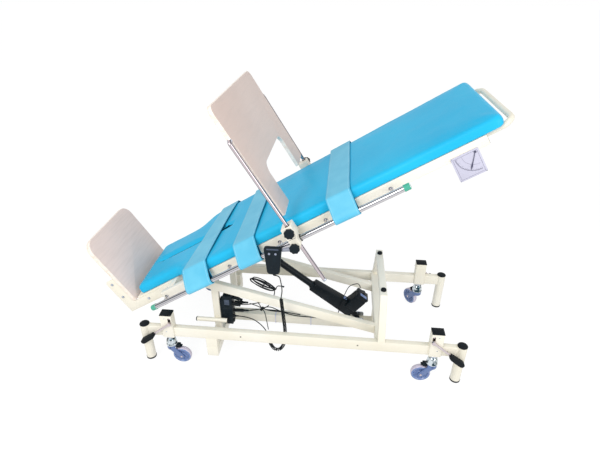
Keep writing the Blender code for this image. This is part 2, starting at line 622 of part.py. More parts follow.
# Straps: a band over the pad that loops round both side rails
loop_in = SIDE_RAIL_R + 0.001
loop_out = loop_in + STRAP_T
lift = PAD_ROUND + 0.0006
round_y = PAD_HALF - PAD_ROUND
round_n = PAD_N1 - PAD_ROUND
n0 = round_n + lift
n1 = n0 + STRAP_T
half = ([(0.0, n1), (0.150, n1)] + arc(round_y, round_n, lift + STRAP_T, 90, 30, 6)
        + [(0.338, 0.118), (0.356, 0.099)]
        + arc(SIDE_RAIL_Y, SIDE_RAIL_N, loop_out, 40, -195, 12)
        + [(0.3325, 0.100)] + arc(round_y, round_n, lift, 30, 90, 6) + [(0.150, n0), (0.0, n0)])
outer = [(y, n) for y, n in half[:-1]] + [(-y, n) for y, n in reversed(half[1:])]
STRAPS = {"strap_knee": (0.093, 0.0730, 0.150, 0.0550), "strap_hip": (0.390, 0.060, 0.390, 0.060),
          "strap_chest": (0.8775, 0.0575, 0.8775, 0.0575)}
strap_mat = material("strap_vinyl", (0.20, 0.62, 0.85), 0.0, 0.45)
for name, (s_near, w_near, s_far, w_far) in STRAPS.items():
    band = plate(name, outer, 1.0, (0, 0, 0), "YZ", bed, strap_mat,
                 holes=[arc(k * SIDE_RAIL_Y, SIDE_RAIL_N, loop_in, 360, 22.5, 16) for k in (-1, 1)])
    for v in band.data.vertices:
        t = min(max((v.co.x + SIDE_RAIL_Y) / (2 * SIDE_RAIL_Y), 0.0), 1.0)
        middle = s_near + (s_far - s_near) * t
        wide = w_near + (w_far - w_near) * t
        v.co.z = middle + v.co.z * 2 * wide

# Tray: board, rods, clamps and knobs
tray_outline = ([(-TRAY_CUT_HALF, TRAY_N0), (-TRAY_CUT_HALF, TRAY_CUT_N - 0.05)]
                + arc(-TRAY_CUT_HALF + 0.05, TRAY_CUT_N - 0.05, 0.05, 180, 90, 5)[1:]
                + arc(TRAY_CUT_HALF - 0.05, TRAY_CUT_N - 0.05, 0.05, 90, 0, 5)
                + [(TRAY_CUT_HALF, TRAY_N0)]
                + arc(TRAY_HALF - 0.025, TRAY_N0 + 0.025, 0.025, -90, 0, 4)
                + arc(TRAY_HALF - 0.035, TRAY_N1 - 0.035, 0.035, 0, 90, 5)
                + arc(-TRAY_HALF + 0.035, TRAY_N1 - 0.035, 0.035, 90, 180, 5)
                + arc(-TRAY_HALF + 0.025, TRAY_N0 + 0.025, 0.025, 180, 270, 4))
tray = plate("tray_board", tray_outline, TRAY_THICK, (TRAY_S, 0, 0), "YZ", bed, board_mat)
soften(tray, 0.003)
knob_outline = []
for k in range(32):
    a = 2 * pi * k / 32
    r = KNOB_R - 0.0022 * (0.5 - 0.5 * cos(8 * a))
    knob_outline.append((r * cos(a), r * sin(a)))
for where, side in SIDES.items():
    turn_in = arc(TRAY_ROD_Y - 0.0112, 0.570, 0.0112, 0, 90, 6) + [(TRAY_HALF + FIT, 0.5812)]
    rod_path = [(TRAY_ROD_Y, TRAY_ROD_N0)] + turn_in
    tube("tray_rod_" + where, [(TRAY_S, side * y, n) for y, n in rod_path], TRAY_ROD_R, bed, chrome, 3)
    clamp = box("clamp_" + where, (CLAMP_S0, CLAMP_S1), mirrored(CLAMP_Y0, CLAMP_Y1, side),
                (0.045, 0.165), bed, paint)
    soften(clamp, 0.003)
    cut(clamp, bar("clamp_rail_hole_" + where, (CLAMP_S0 - 0.02, side * SIDE_RAIL_Y, SIDE_RAIL_N),
                   (CLAMP_S1 + 0.02, side * SIDE_RAIL_Y, SIDE_RAIL_N), SIDE_RAIL_R + 0.0004, bed),
        bar("clamp_rod_hole_" + where, (TRAY_S, side * TRAY_ROD_Y, 0.03),
            (TRAY_S, side * TRAY_ROD_Y, 0.20), TRAY_ROD_R + 0.0004, bed, segments=20))
    knobs = {"rod": (TRAY_S, 0.142, TRAY_ROD_Y + 0.0078), "rail": (0.625, 0.070, SIDE_RAIL_Y + 0.0132)}
    for level, (s, n, depth) in knobs.items():
        name = "knob_" + level + "_" + where
        axis = empty(name + "_axis", (s, side * CLAMP_Y1, n), (pi / 2 * side, 0, 0), bed)
        knob = plate(name, knob_outline, 0.016, (0, 0, -0.016), "XY", axis, black)
        join(knob, bar(name + "_neck", (0, 0, -0.010), (0, 0, -0.0005), 0.009, axis, segments=12))
        screw = bar(name + "_screw", (0, 0, -0.006), (0, 0, CLAMP_Y1 - depth), 0.003, axis, segments=10)
        join(knob, screw)
        cut(clamp, bar(name + "_hole", (s, side * (CLAMP_Y1 + 0.03), n), (s, side * (depth - FIT), n), 0.0034,
                       bed, segments=12))

# Actuator: axis empty at the clevis pin, local X towards the rod end, local Z down
end_x = PIVOT_X + ROD_END_S * cos(TILT) - ROD_END_N * sin(TILT)
end_z = PIVOT_Z + ROD_END_S * sin(TILT) + ROD_END_N * cos(TILT)
lift_angle = atan2(end_z - CLEVIS_Z, end_x - CLEVIS_X)
lift_long = sqrt((end_x - CLEVIS_X) ** 2 + (end_z - CLEVIS_Z) ** 2)
actuator = empty("actuator_axis", (CLEVIS_X, 0, CLEVIS_Z), (0, -lift_angle, 0), base)
housing = [(0.046, 0.026), (HOUSING_END, 0.026), (HOUSING_END, -0.032), (0.1185, -0.054),
           (0.1185, -0.026), (0.046, -0.026)]
body = plate("actuator_body", housing, 0.048, (0, 0, 0), "XZ", actuator, black)
soften(body, 0.005, 2)
join(body, bar("tail_eye", (0, -0.012, 0), (0, 0.012, 0), 0.0115, actuator, segments=20),
     box("tail_neck", (0, 0.060), (-0.012, 0.012), (-0.0095, 0.0095), actuator),
     bar("outer_tube", (HOUSING_END - 0.02, 0, 0), (TUBE_END, 0, 0), TUBE_R, actuator))
cut(body, bar("rod_bore", (0.170, 0, 0), (TUBE_END + 0.02, 0, 0), TUBE_BORE_R, actuator),
    bar("tail_bore", (0, -0.03, 0), (0, 0.03, 0), 0.0053, actuator, segments=20))
motor = box("actuator_motor", (0.044, 0.118), (-0.033, 0.033), (-MOTOR_TOP, -0.0263), actuator, black)
soften(motor, 0.008, 2)
rod = bar("actuator_rod", (0.310, 0, 0), (lift_long - 0.008, 0, 0), ROD_R, actuator, chrome)
join(rod, bar("rod_eye", (lift_long, -0.011, 0), (lift_long, 0.011, 0), 0.014, actuator,
              segments=20),
     bar("rod_pin", (lift_long, -0.0132, 0), (lift_long, 0.0132, 0), 0.005, actuator, segments=16))

# Handset hung on the near side rail, upright in the world at rest
hang = empty("handset_hang", (HANDSET_S, -SIDE_RAIL_Y, SIDE_RAIL_N), (0, TILT, 0), bed)
wide = HANDSET_WIDE / 2
top = 0.056
low = top - HANDSET_TALL
hand_outline = (arc(wide - 0.012, top - 0.012, 0.012, 0, 90, 4)
                + arc(-wide + 0.012, top - 0.012, 0.012, 90, 180, 4)
                + arc(-wide + 0.026, low + 0.016, 0.016, 180, 270, 4)
                + arc(wide - 0.026, low + 0.016, 0.016, 270, 360, 4))
thick = HANDSET_Y1 - HANDSET_Y0
handset = plate("handset", hand_outline, thick,
                (HANDSET_OFF, (HANDSET_Y0 + HANDSET_Y1) / 2 + SIDE_RAIL_Y, 0), "XZ", hang, black)
soften(handset, 0.004, 2)
hook = [(-0.0165, 0.004)] + arc(0, 0, 0.0165, 180, 0, 9) + [(0.0165, -0.010), (0.0135, -0.010)]
hook = hook + arc(0, 0, 0.0135, 0, 180, 9) + [(-0.0135, 0.004)]
cap_hook = plate("hook", [(-y, n) for y, n in hook], 0.020,
                 (HANDSET_S, -SIDE_RAIL_Y, SIDE_RAIL_N), "YZ", bed)
join(handset, cap_hook)
BUTTON_UP = 0.025
for name, x in (("button_up", HANDSET_OFF - 0.0150), ("button_down", HANDSET_OFF + 0.0130)):
    cut(handset, bar(name + "_well", (x, HANDSET_Y0 + SIDE_RAIL_Y - 0.01, BUTTON_UP),
                     (x, HANDSET_Y0 + SIDE_RAIL_Y + 0.0085, BUTTON_UP), 0.0057, hang, segments=20))
    turned(name, [(0, 0.0075), (0.004, 0.0075), (0.0052, 0.0063), (0.0052, 0), (0, 0)],
           (x, HANDSET_Y0 + SIDE_RAIL_Y + 0.0055, BUTTON_UP), (pi / 2, 0, 0), hang,
           material(name + "_grey", (0.35, 0.37, 0.45), 0.0, 0.4), 20)

# Cords: plain lead, curled part hung in a loop under the rail, lead to the box
grip_x = PIVOT_X + HANDSET_S * cos(TILT) - SIDE_RAIL_N * sin(TILT) + HANDSET_OFF
grip_z = PIVOT_Z + HANDSET_S * sin(TILT) + SIDE_RAIL_N * cos(TILT) + low
hand_y = (HANDSET_Y0 + HANDSET_Y1) / 2
lead, lead_long = smooth_route([(grip_x, hand_y, grip_z - 0.001), (grip_x, hand_y, grip_z - 0.012),
                                (-0.0820, -0.3600, 0.655), (-0.0810, -0.3200, 0.598),
                                (-0.0813, -0.2850, 0.521), (-0.0880, -0.2650, 0.470),
                                (-0.0900, -0.2600, 0.456)], 18)
spine_line, curl_run = smooth_route([(-0.0910, -0.2600, 0.448), (-0.0830, -0.2600, 0.350),
                                     (-0.0750, -0.2600, 0.250), (-0.0760, -0.2600, 0.180),
                                     (-0.0870, -0.2600, 0.130), (-0.1080, -0.2600, 0.100),
                                     (-0.1330, -0.2600, 0.102), (-0.1510, -0.2600, 0.130),
                                     (-0.1580, -0.2600, 0.165)], CURLS * 8 + 1)
turns = []
steps = CURLS * 8
for k in range(steps + 1):
    here = Vector(spine_line[k])
    ahead = Vector(spine_line[min(k + 1, steps)]) - Vector(spine_line[max(k - 1, 0)])
    across = ahead.cross(Vector((0, 1, 0))).normalized()
    a = 2 * pi * k / 8
    grow = CURL_R * min(1.0, k / 6, (steps - k) / 6)
    turns.append(tuple(here + across * grow * cos(a) + Vector((0, 1, 0)) * grow * sin(a)))
tail, tail_long = smooth_route([(-0.1600, -0.2600, 0.172), (-0.1650, -0.2560, 0.195),
                                (-0.1950, -0.2300, 0.222), (-0.2450, -0.2000, 0.238),
                                (-0.3000, -0.1800, 0.238), (CONTROL_X1 + FIT, -0.1740, 0.238)], 16)
tube("handset_cord", lead + turns + tail, CURL_WIRE_R, base, black, 1)
pitch = curl_run / CURLS
curl_long = CURLS * sqrt((2 * pi * CURL_R) ** 2 + pitch ** 2)
route_points = np.array(lead + turns + tail)
nearest = min(float(np.linalg.norm(route_points[i + 5:] - p, axis=1).min())
              for i, p in enumerate(route_points[:-5]))
print("handset cord length", round(lead_long + curl_long + tail_long, 3),
      "self gap", round(nearest - 2 * CURL_WIRE_R, 5))

# Spare cable wound in a hank, with both ends led off
hank = []
HANK_TURNS = 4
for k in range(HANK_TURNS * 14 + 1):
    a = 2 * pi * k / 14
    u = 0.072 * cos(a)
    v = 0.016 * sin(a)
    drop = radians(28)
    hank.append((-0.205 + u * cos(drop) + v * sin(drop), -0.142 + 0.0075 * k / 14,
                 0.425 - u * sin(drop) + v * cos(drop)))
start = hank[0]
finish = hank[-1]
first, first_long = smooth_route([(CONTROL_X1 + FIT, -0.150, 0.300), (-0.300, -0.150, 0.300),
                                  (-0.230, -0.156, 0.322), (-0.165, -0.158, 0.340),
                                  (start[0] - 0.006, -0.1500, start[2] - 0.030),
                                  (start[0], start[1] - 0.0005, start[2] - 0.008)], 16)
last, last_long = smooth_route([(finish[0] + 0.001, finish[1] + 0.0005, finish[2] + 0.008),
                                (finish[0] + 0.012, -0.108, finish[2] + 0.016),
                                (finish[0] + 0.040, -0.104, finish[2] + 0.010)], 6)
tube("cable_hank", first + hank + last, CORD_R, base, black, 1)
print("hank length", round(first_long + last_long + HANK_TURNS * 2 * pi * 0.048, 3),
      "self gap", round(0.0075 - 2 * CORD_R, 5))

# Motor lead: out of the control box, along the spine, up to the motor
motor_x = CLEVIS_X + 0.083 * cos(lift_angle) + MOTOR_TOP * sin(lift_angle)
motor_z = CLEVIS_Z + 0.083 * sin(lift_angle) - MOTOR_TOP * cos(lift_angle)
route, route_long = smooth_route([(CONTROL_X1 + FIT, -0.156, 0.262), (-0.300, -0.156, 0.262),
                                  (-0.240, -0.140, 0.262), (-0.180, -0.100, 0.250),
                                  (-0.110, -0.058, 0.180), (-0.040, -0.030, 0.138),
                                  (0.060, -0.029, 0.134), (0.150, -0.030, 0.136),
                                  (0.192, -0.032, 0.170), (0.205, -0.034, 0.225),
                                  (0.225, -0.034, 0.275), (0.258, -0.030, 0.312),
                                  (motor_x - 0.022, -0.020, motor_z + 0.036),
                                  (motor_x + 0.006, -0.008, motor_z + 0.024),
                                  (motor_x + 0.0035, -0.002, motor_z + 0.0048)], 44)
tube("motor_cable", route, CORD_R, base, black, 1)
print("motor cable length", round(route_long, 3))

for thing in parts.objects:
    if thing.type == "MESH" and not thing.name.startswith(("tray_board", "footboard")):
        thing.data.shade_smooth()
        thing.data.set_sharp_from_angle(angle=radians(35))
bpy.context.view_layer.update()
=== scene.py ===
import json
from math import atan2, cos, pi, radians, sin, sqrt
import bmesh
import bpy
from mathutils import Matrix, Vector, noise

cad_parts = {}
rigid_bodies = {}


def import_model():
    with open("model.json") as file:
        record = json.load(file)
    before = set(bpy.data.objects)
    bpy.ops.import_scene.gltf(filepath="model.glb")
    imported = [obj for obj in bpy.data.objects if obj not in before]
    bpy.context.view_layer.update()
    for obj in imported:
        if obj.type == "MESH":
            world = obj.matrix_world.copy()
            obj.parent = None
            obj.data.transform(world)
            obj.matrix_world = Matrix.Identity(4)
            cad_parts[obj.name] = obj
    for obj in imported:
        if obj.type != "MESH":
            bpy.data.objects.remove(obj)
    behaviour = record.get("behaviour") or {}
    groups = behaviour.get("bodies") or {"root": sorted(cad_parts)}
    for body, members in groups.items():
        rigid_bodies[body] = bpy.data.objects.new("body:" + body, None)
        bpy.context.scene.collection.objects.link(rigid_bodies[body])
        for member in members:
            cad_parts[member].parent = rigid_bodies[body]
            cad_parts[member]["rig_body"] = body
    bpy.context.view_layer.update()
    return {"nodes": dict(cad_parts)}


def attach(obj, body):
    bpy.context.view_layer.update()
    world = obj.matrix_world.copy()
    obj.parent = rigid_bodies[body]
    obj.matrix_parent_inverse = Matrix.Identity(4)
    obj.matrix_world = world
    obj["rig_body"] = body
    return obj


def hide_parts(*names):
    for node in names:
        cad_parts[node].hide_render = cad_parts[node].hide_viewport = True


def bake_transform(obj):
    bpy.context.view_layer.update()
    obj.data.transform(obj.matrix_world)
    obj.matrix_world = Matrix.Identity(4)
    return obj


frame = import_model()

nodes = frame["nodes"]
baseX = 0.1313
tilt = radians(31.6)
basePlace = Matrix.Translation((baseX, 0, 0))        # base drawings: x from the middle of the frame
# bed drawings: s along the bed from its pivot, y across, n square to it
bedPlace = Matrix.Translation((baseX - 0.5, 0, 0.455)) @ Matrix.Rotation(-tilt, 4, "Y")
worldScene = bpy.context.scene


def linked(name, data):
    thing = bpy.data.objects.new(name, data)
    worldScene.collection.objects.link(thing)
    return thing


# camera, as the photograph was taken

camera = {"spot": (0.30526, -1.95264, 1.84908), "right": (0.99499, 0.09995, -0.00027),
          "up": (-0.0495, 0.49507, 0.86744), "lens": 26.382}


def setCamera(values):
    right = Vector(values["right"]).normalized()
    up = Vector(values["up"]).normalized()
    back = right.cross(up)
    data = bpy.data.cameras.new("photoCamera")
    data.lens = values["lens"]
    data.sensor_width = 36
    data.clip_end = 60
    worldScene.camera = linked("photoCamera", data)
    turn = Matrix((right, up, back)).transposed().to_4x4()
    worldScene.camera.matrix_world = Matrix.Translation(values["spot"]) @ turn


setCamera(camera)
print("camera set")


# finishes

def tint(code):
    parts = [int(code[i:i + 2], 16) / 255 for i in (0, 2, 4)]
    return tuple(c / 12.92 if c < 0.04045 else ((c + 0.055) / 1.055) ** 2.4 for c in parts) + (1.0,)


class Wire:
    # one node output that can be used in sums
    def __init__(self, look, socket):
        self.look = look
        self.socket = socket

    def calc(self, operation, *values):
        inputs = dict(enumerate(values))
        return self.look.node("Math", {"operation": operation}, inputs)

    def __add__(self, other):
        return self.calc("ADD", self, other)

    def __radd__(self, other):
        return self.calc("ADD", other, self)

    def __sub__(self, other):
        return self.calc("SUBTRACT", self, other)

    def __rsub__(self, other):
        return self.calc("SUBTRACT", other, self)

    def __mul__(self, other):
        return self.calc("MULTIPLY", self, other)

    def __rmul__(self, other):
        return self.calc("MULTIPLY", other, self)

    def __truediv__(self, other):
        return self.calc("DIVIDE", self, other)

    def __abs__(self):
        return self.calc("ABSOLUTE", self)

    def __lt__(self, other):
        return self.calc("LESS_THAN", self, other)

    def cut(self):
        return self.calc("FRACT", self)

    def ramp(self, low, high, start=0.0, end=1.0):
        inputs = {0: self, 1: low, 2: high, 3: start, 4: end}
        return self.look.node("MapRange", {"clamp": True}, inputs)


class Finish:
    # one Principled material and the nodes that feed it
    def __init__(self, name, color, roughness=0.5, **fixed):
        self.material = bpy.data.materials.new(name)
        self.material.use_nodes = True
        self.tree = self.material.node_tree
        self.shader = self.tree.nodes["Principled BSDF"]
        self.feed("Base Color", color)
        self.feed("Roughness", roughness)
        for key, value in fixed.items():
            self.feed(key.replace("_", " "), value)

    def feed(self, name, value):
        self.link(value, self.shader.inputs[name])

    def link(self, value, socket):
        if isinstance(value, Wire):
            self.tree.links.new(value.socket, socket)
        else:
            socket.default_value = value

    def node(self, kind, settings=None, inputs=None, out=0):
        made = self.tree.nodes.new("ShaderNode" + kind)
        for key, value in (settings or {}).items():
            setattr(made, key, value)
        for key, value in (inputs or {}).items():
            self.link(value, made.inputs[key])
        return Wire(self, made.outputs[out])

    def spot(self, scale=(1, 1, 1), turn=(0, 0, 0)):
        here = self.node("TexCoord", out="Object")
        return self.node("Mapping", None, {0: here, 2: turn, 3: scale})

    def apart(self, vector):
        made = self.tree.nodes.new("ShaderNodeSeparateXYZ")
        self.link(vector, made.inputs[0])
        return [Wire(self, socket) for socket in made.outputs]

    def noise(self, scale, detail=2.0, rough=0.5, where=None):
        inputs = {"Vector": where or self.spot(), "Scale": scale, "Detail": detail, "Roughness": rough}
        return self.node("TexNoise", None, inputs)

    def cells(self, scale):
        inputs = {"Vector": self.spot(), "Scale": scale}
        return self.node("TexVoronoi", {"feature": "DISTANCE_TO_EDGE"}, inputs)

    def mixed(self, amount, first, second):
        return self.node("Mix", {"data_type": "RGBA"}, {0: amount, 6: first, 7: second}, 2)

    def bump(self, height, strength, distance):
        inputs = {"Height": height, "Strength": strength, "Distance": distance}
        self.feed("Normal", self.node("Bump", None, inputs))


def powderCoat(name, pale, deep):
    look = Finish(name, pale, 0.34, Specular_IOR_Level=0.35)
    cloud = look.noise(2.6, 3)
    dust = look.noise(38, 4, 0.65)
    base = look.mixed(cloud.ramp(0.35, 0.7), pale, deep)
    look.feed("Base Color", look.mixed(dust.ramp(0.62, 0.8, 0, 0.18), base, tint("D8CFB4")))
    look.feed("Roughness", 0.28 + look.noise(240, 2) * 0.16)
    look.bump(look.noise(520, 2), 0.12, 0.0005)
    return look.material


def vinyl(name, pale, deep, rough=0.36):
    look = Finish(name, pale, rough, Specular_IOR_Level=0.11)
    cloud = look.noise(3.2, 2)
    grain = look.cells(620).ramp(0.0, 0.35)
    look.feed("Base Color", look.mixed(cloud.ramp(0.3, 0.7), pale, deep))
    look.feed("Roughness", rough - 0.04 + look.noise(90, 3) * 0.10)
    look.bump(grain * 0.7 + look.noise(1400, 2) * 0.5, 0.16, 0.0006)
    return look.material


def strapFinish(values):
    look = Finish("strapVinyl", tint(values["pale"]), 0.42, Specular_IOR_Level=0.22)
    across, along, _ = look.apart(look.node("UVMap", {"uv_map": "metres"}))
    toEdge = values["half"] - abs(across - values["half"])   # distance from the nearer edge
    seam = abs(toEdge - values["seamIn"]) < 0.0009
    stitch = ((along / values["pitch"]).cut() < 0.62) * seam
    valley = 1 - abs(toEdge - values["seamIn"]).ramp(0.0, 0.004)
    edgeToSeamRamp = toEdge.ramp(0.0, values["seamIn"])
    cloud = look.noise(9, 3)
    base = look.mixed(cloud.ramp(0.3, 0.7), tint(values["pale"]), tint(values["deep"]))
    # darker blue towards each edge, out to the stitch line
    base = look.mixed(edgeToSeamRamp.ramp(0.0, 1.0, 0.35, 0.0), base, tint(values["edge"]))
    look.feed("Base Color", look.mixed(stitch * 0.75, base, tint(values["thread"])))
    grain = look.cells(620).ramp(0.0, 0.35) * 0.05
    look.bump(grain + stitch * 0.5 - valley * 0.5, 0.55, 0.0012)
    return look.material


def laminate(name, pale, deep, turn):
    look = Finish(name, pale, 0.30, Specular_IOR_Level=0.35)
    fleck = look.noise(420, 3, 0.7)
    brushed = look.noise(6, 5, 0.62, look.spot((1, 1, 14), turn))
    cloud = look.noise(1.6, 2)
    base = look.mixed(cloud.ramp(0.3, 0.7), pale, deep)
    base = look.mixed(brushed.ramp(0.45, 0.75, 0, 0.26), base, tint("C6B2A8"))
    look.feed("Base Color", look.mixed(fleck.ramp(0.58, 0.66, 0, 0.22), base, tint("F0E4DE")))
    look.feed("Roughness", 0.26 + fleck * 0.14)
    look.bump(fleck, 0.05, 0.0003)
    return look.material


def edgeBand():
    look = Finish("boardEdgeBand", tint("F4E7DB"), 0.36)
    along = look.noise(70, 3)
    look.feed("Base Color", look.mixed(along.ramp(0.4, 0.7), tint("F6EBE0"), tint("EBDACB")))
    look.feed("Roughness", 0.30 + along * 0.12)
    return look.material


def plated(name, color, rough, wear=0.10, spread=0.12):
    look = Finish(name, color, rough, Metallic=1.0)
    smear = look.noise(14, 4, 0.6)
    fine = look.noise(300, 3, 0.7)
    look.feed("Roughness", rough + smear.ramp(0.4, 0.8, 0, spread) + fine * 0.05)
    look.feed("Base Color", look.mixed(fine.ramp(0.55, 0.75, 0, wear), color, tint("6E6A6C")))
    return look.material


def paintedReflectionTube(name, color, axis, middle, radius, reflectionLines):
    # chrome of a round tube along the bed, with painted reflections: dark lines painted into its base colour
    # across the tube; axis 0 is s, 2 is n
    look = Finish(name, color, 0.12, Metallic=1.0)
    origin = Matrix.Rotation(tilt, 4, "Y") @ bedPlace.translation
    here = look.apart(look.spot(turn=(0, tilt, 0)))[axis]
    across = (here - (origin[axis] + middle)) / radius
    paintedReflection = 0
    for spot, half in reflectionLines:
        paintedReflection = paintedReflection + (1 - abs(across - spot).ramp(half * 0.5, half))
    fine = look.noise(300, 3, 0.7)
    # painted reflection: the base colour turns dark blue-grey along these lines
    look.feed("Base Color", look.mixed(paintedReflection.ramp(0, 1) * 0.85, color, tint("2B3C42")))
    look.feed("Roughness", 0.10 + fine * 0.08)
    return look.material


def paintedReflectionDome(name):
    # chrome of a small dome, with painted reflections: dark and pale patches painted into its base colour by
    # noise
    look = Finish(name, tint("C9D4DA"), 0.14, Metallic=1.0)
    paintedReflectionPatch = look.noise(46, 3, 0.55)
    look.feed("Base Color", look.mixed(paintedReflectionPatch.ramp(0.44, 0.56), tint("D5DEE3"), tint("2C444E")))
    look.feed("Roughness", 0.12 + look.noise(300, 3, 0.7) * 0.10)
    return look.material


def moulded(name, color, rough=0.42, grain=900, strength=0.25, pale="2B3A44"):
    look = Finish(name, color, rough, Specular_IOR_Level=0.13)
    fine = look.noise(grain, 2, 0.6)
    wide = look.noise(22, 3)
    look.feed("Base Color", look.mixed(wide.ramp(0.55, 0.8, 0, 0.22), color, tint(pale)))
    look.feed("Roughness", rough - 0.05 + fine * 0.12)
    look.bump(fine, strength, 0.0004)
    return look.material


def softPlastic(name, color, rough, **fixed):
    look = Finish(name, color, rough, **fixed)
    fine = look.noise(60, 3)
    look.feed("Roughness", rough + fine * 0.08)
    look.bump(look.noise(500, 2), 0.06, 0.0003)
    return look.material


strapLook = {"pale": "6CC4E2", "deep": "59B8DA", "edge": "3CA0C8", "thread": "A9DDF0",
             "half": 0.0575, "seamIn": 0.007, "pitch": 0.005}
cream = powderCoat("creamPowderCoat", tint("EFEBDF"), tint("E6E0CE"))
blueVinyl = vinyl("bluePadVinyl", tint("2ABAE6"), tint("22B0DE"))
# painted shade: a dark blue for the walls of the seam between the pad's legs
seamPaintedShade = vinyl("padSeamPaintedShade", tint("0A4A66"), tint("083C55"), 0.6)
strapVinyl = strapFinish(strapLook)
# painted shadow for the split in the tray clamps
paintedSplitShadow = moulded("splitShadow", tint("1A2B38"), 0.85, 1500, 0.6)
# painted shade: a darker copy of the strap blue for the straps' inner side
strapInnerShade = vinyl("strapInnerPaintedShade", tint("0E5F82"), tint("0B4F6E"), 0.6)
trayFace = laminate("trayLaminate", tint("E5CEC3"), tint("D8C0B5"), (0, -tilt, 0))
footFace = laminate("footboardLaminate", tint("F2DFD8"), tint("EAD5CD"), (0, -tilt, 0))
banding = edgeBand()
chrome = plated("chromeTube", tint("CFC4C8"), 0.10)
# painted reflections on the rails and tray rods: each line's place across the tube and its half width
railChromePaintedReflections = paintedReflectionTube("railChromePaintedReflections", tint("CBC9CD"), 2, 0.077, 0.0125,
                       ((0.74, 0.20), (-0.80, 0.16), (0.16, 0.10)))
rodChromePaintedReflections = paintedReflectionTube("rodChromePaintedReflections", tint("C4B9BE"), 0, 0.643, 0.0086, ((-0.72, 0.24), (0.80, 0.18)))
hoodChromePaintedReflections = paintedReflectionDome("hoodChromePaintedReflections")
zinc = plated("zincPlate", tint("AEB4BE"), 0.24, 0.2)
blackPlastic = moulded("blackPlastic", tint("121C23"), 0.40)
blackRubber = moulded("blackRubber", tint("14191D"), 0.62, 700, 0.35)
actuatorBlack = moulded("actuatorBlack", tint("10171C"), 0.36, 1200, 0.2, "1E2A33")
cordBlack = moulded("cordBlack", tint("12181C"), 0.42, 1500, 0.15)
capGreen = softPlastic("greenRailCap", tint("3FA68C"), 0.30)
capWhite = softPlastic("whiteCapEnd", tint("DDE3E6"), 0.35)
labelBlue = softPlastic("blankBlueLabel", tint("6F87B8"), 0.28)
# painted highlight: a pale bluish grey laid as patches on the black control box and handset
paintedHighlight = softPlastic("paintedHighlightPatch", tint("39465A"), 0.25)
tyreLavender = softPlastic("lavenderTyre", tint("6A81B0"), 0.22, Subsurface_Weight=0.25,
                           Subsurface_Scale=0.01, Coat_Weight=0.3)
tyreTread = softPlastic("paleTyreTread", tint("C6BFD0"), 0.40, Coat_Weight=0.15)
hubLavender = softPlastic("lavenderHub", tint("5B72A3"), 0.3, Coat_Weight=0.2)
gaugeSheet = softPlastic("gaugeSheet", tint("BEBDCF"), 0.35)
gaugeInk = softPlastic("gaugeInk", tint("4A4A62"), 0.5)
buttonGrey = softPlastic("buttonGrey", tint("8C94A8"), 0.35)
tieWhite = softPlastic("whiteZipTie", tint("C9CCE6"), 0.4)
coneGrey = softPlastic("greyConeHandle", tint("8F94A3"), 0.35)
print("finishes made")


# shapes

def arc(cx, cy, radius, start, end, count):
    angles = [radians(start + (end - start) * i / (count - 1)) for i in range(count)]
    return [(cx + radius * cos(a), cy + radius * sin(a)) for a in angles]


def roundedRect(x0, x1, y0, y1, radius, count=6):
    return (arc(x1 - radius, y1 - radius, radius, 0, 90, count)
            + arc(x0 + radius, y1 - radius, radius, 90, 180, count)
            + arc(x0 + radius, y0 + radius, radius, 180, 270, count)
            + arc(x1 - radius, y0 + radius, radius, 270, 360, count))


def sideOf(outline, y):
    return [(u, y, v) for u, v in outline]      # drawn from the side


def endOf(outline, x):
    return [(x, u, v) for u, v in outline]      # drawn from the end


def topOf(outline, z):
    return [(u, v, z) for u, v in outline]      # drawn from above


def slab(bm, outline, push, easing=0.0, segments=2):
    # a flat outline pushed to a thickness
    face = bm.faces.new([bm.verts.new(p) for p in outline])
    made = bmesh.ops.extrude_face_region(bm, geom=[face])["geom"]
    verts = [v for v in made if isinstance(v, bmesh.types.BMVert)]
    bmesh.ops.translate(bm, vec=push, verts=verts)
    whole = list({v for f in face.verts for g in f.link_faces for v in g.verts} | set(verts))
    if easing:
        rim = [e for e in {e for v in whole for e in v.link_edges}
               if e.is_manifold and e.calc_face_angle(0) > radians(50)]
        ease(bm, rim, easing, segments)
    return whole


def ease(bm, edges, width, segments=2):
    bmesh.ops.bevel(bm, geom=edges, offset=width, offset_type="OFFSET", affect="EDGES",
                    segments=segments, profile=0.5, material=-1, clamp_overlap=True)


def block(bm, low, high, easing=0.0, segments=2):
    middle = (Vector(low) + Vector(high)) / 2
    size = Vector(high) - Vector(low)
    place = Matrix.Translation(middle) @ Matrix.Diagonal((*size, 1))
    verts = bmesh.ops.create_cube(bm, size=1, matrix=place)["verts"]
    if easing:
        ease(bm, list({e for v in verts for e in v.link_edges}), easing, segments)
    return verts


def aim(start, end):
    start, end = Vector(start), Vector(end)
    turn = (end - start).to_track_quat("Z", "Y").to_matrix().to_4x4()
    return Matrix.Translation(start) @ turn, (end - start).length


def rod(bm, start, end, radius, radiusEnd=None, segments=32):
    place, long = aim(start, end)
    last = radius if radiusEnd is None else radiusEnd
    place = place @ Matrix.Translation((0, 0, long / 2))
    return bmesh.ops.create_cone(bm, cap_ends=True, segments=segments, radius1=radius, radius2=last,
                                 depth=long, matrix=place)["verts"]


def spun(bm, profile, place=Matrix(), steps=40):
    # radius and height pairs turned about Z
    before = set(bm.verts)
    line = [bm.verts.new((r, 0, z)) for r, z in profile]
    edges = [bm.edges.new(pair) for pair in zip(line, line[1:])]
    bmesh.ops.spin(bm, geom=line + edges, cent=(0, 0, 0), axis=(0, 0, 1), angle=2 * pi, steps=steps,
                   use_merge=True)
    fresh = [v for v in bm.verts if v not in before]
    bmesh.ops.remove_doubles(bm, verts=fresh, dist=0.00001)
    fresh = [v for v in bm.verts if v not in before]
    bmesh.ops.transform(bm, matrix=place, verts=fresh)
    return fresh


def turnedOn(bm, profile, spot, out, steps=40):
    # a profile turned about the line that leaves spot towards out
    return spun(bm, profile, aim(spot, Vector(spot) + Vector(out))[0], steps)


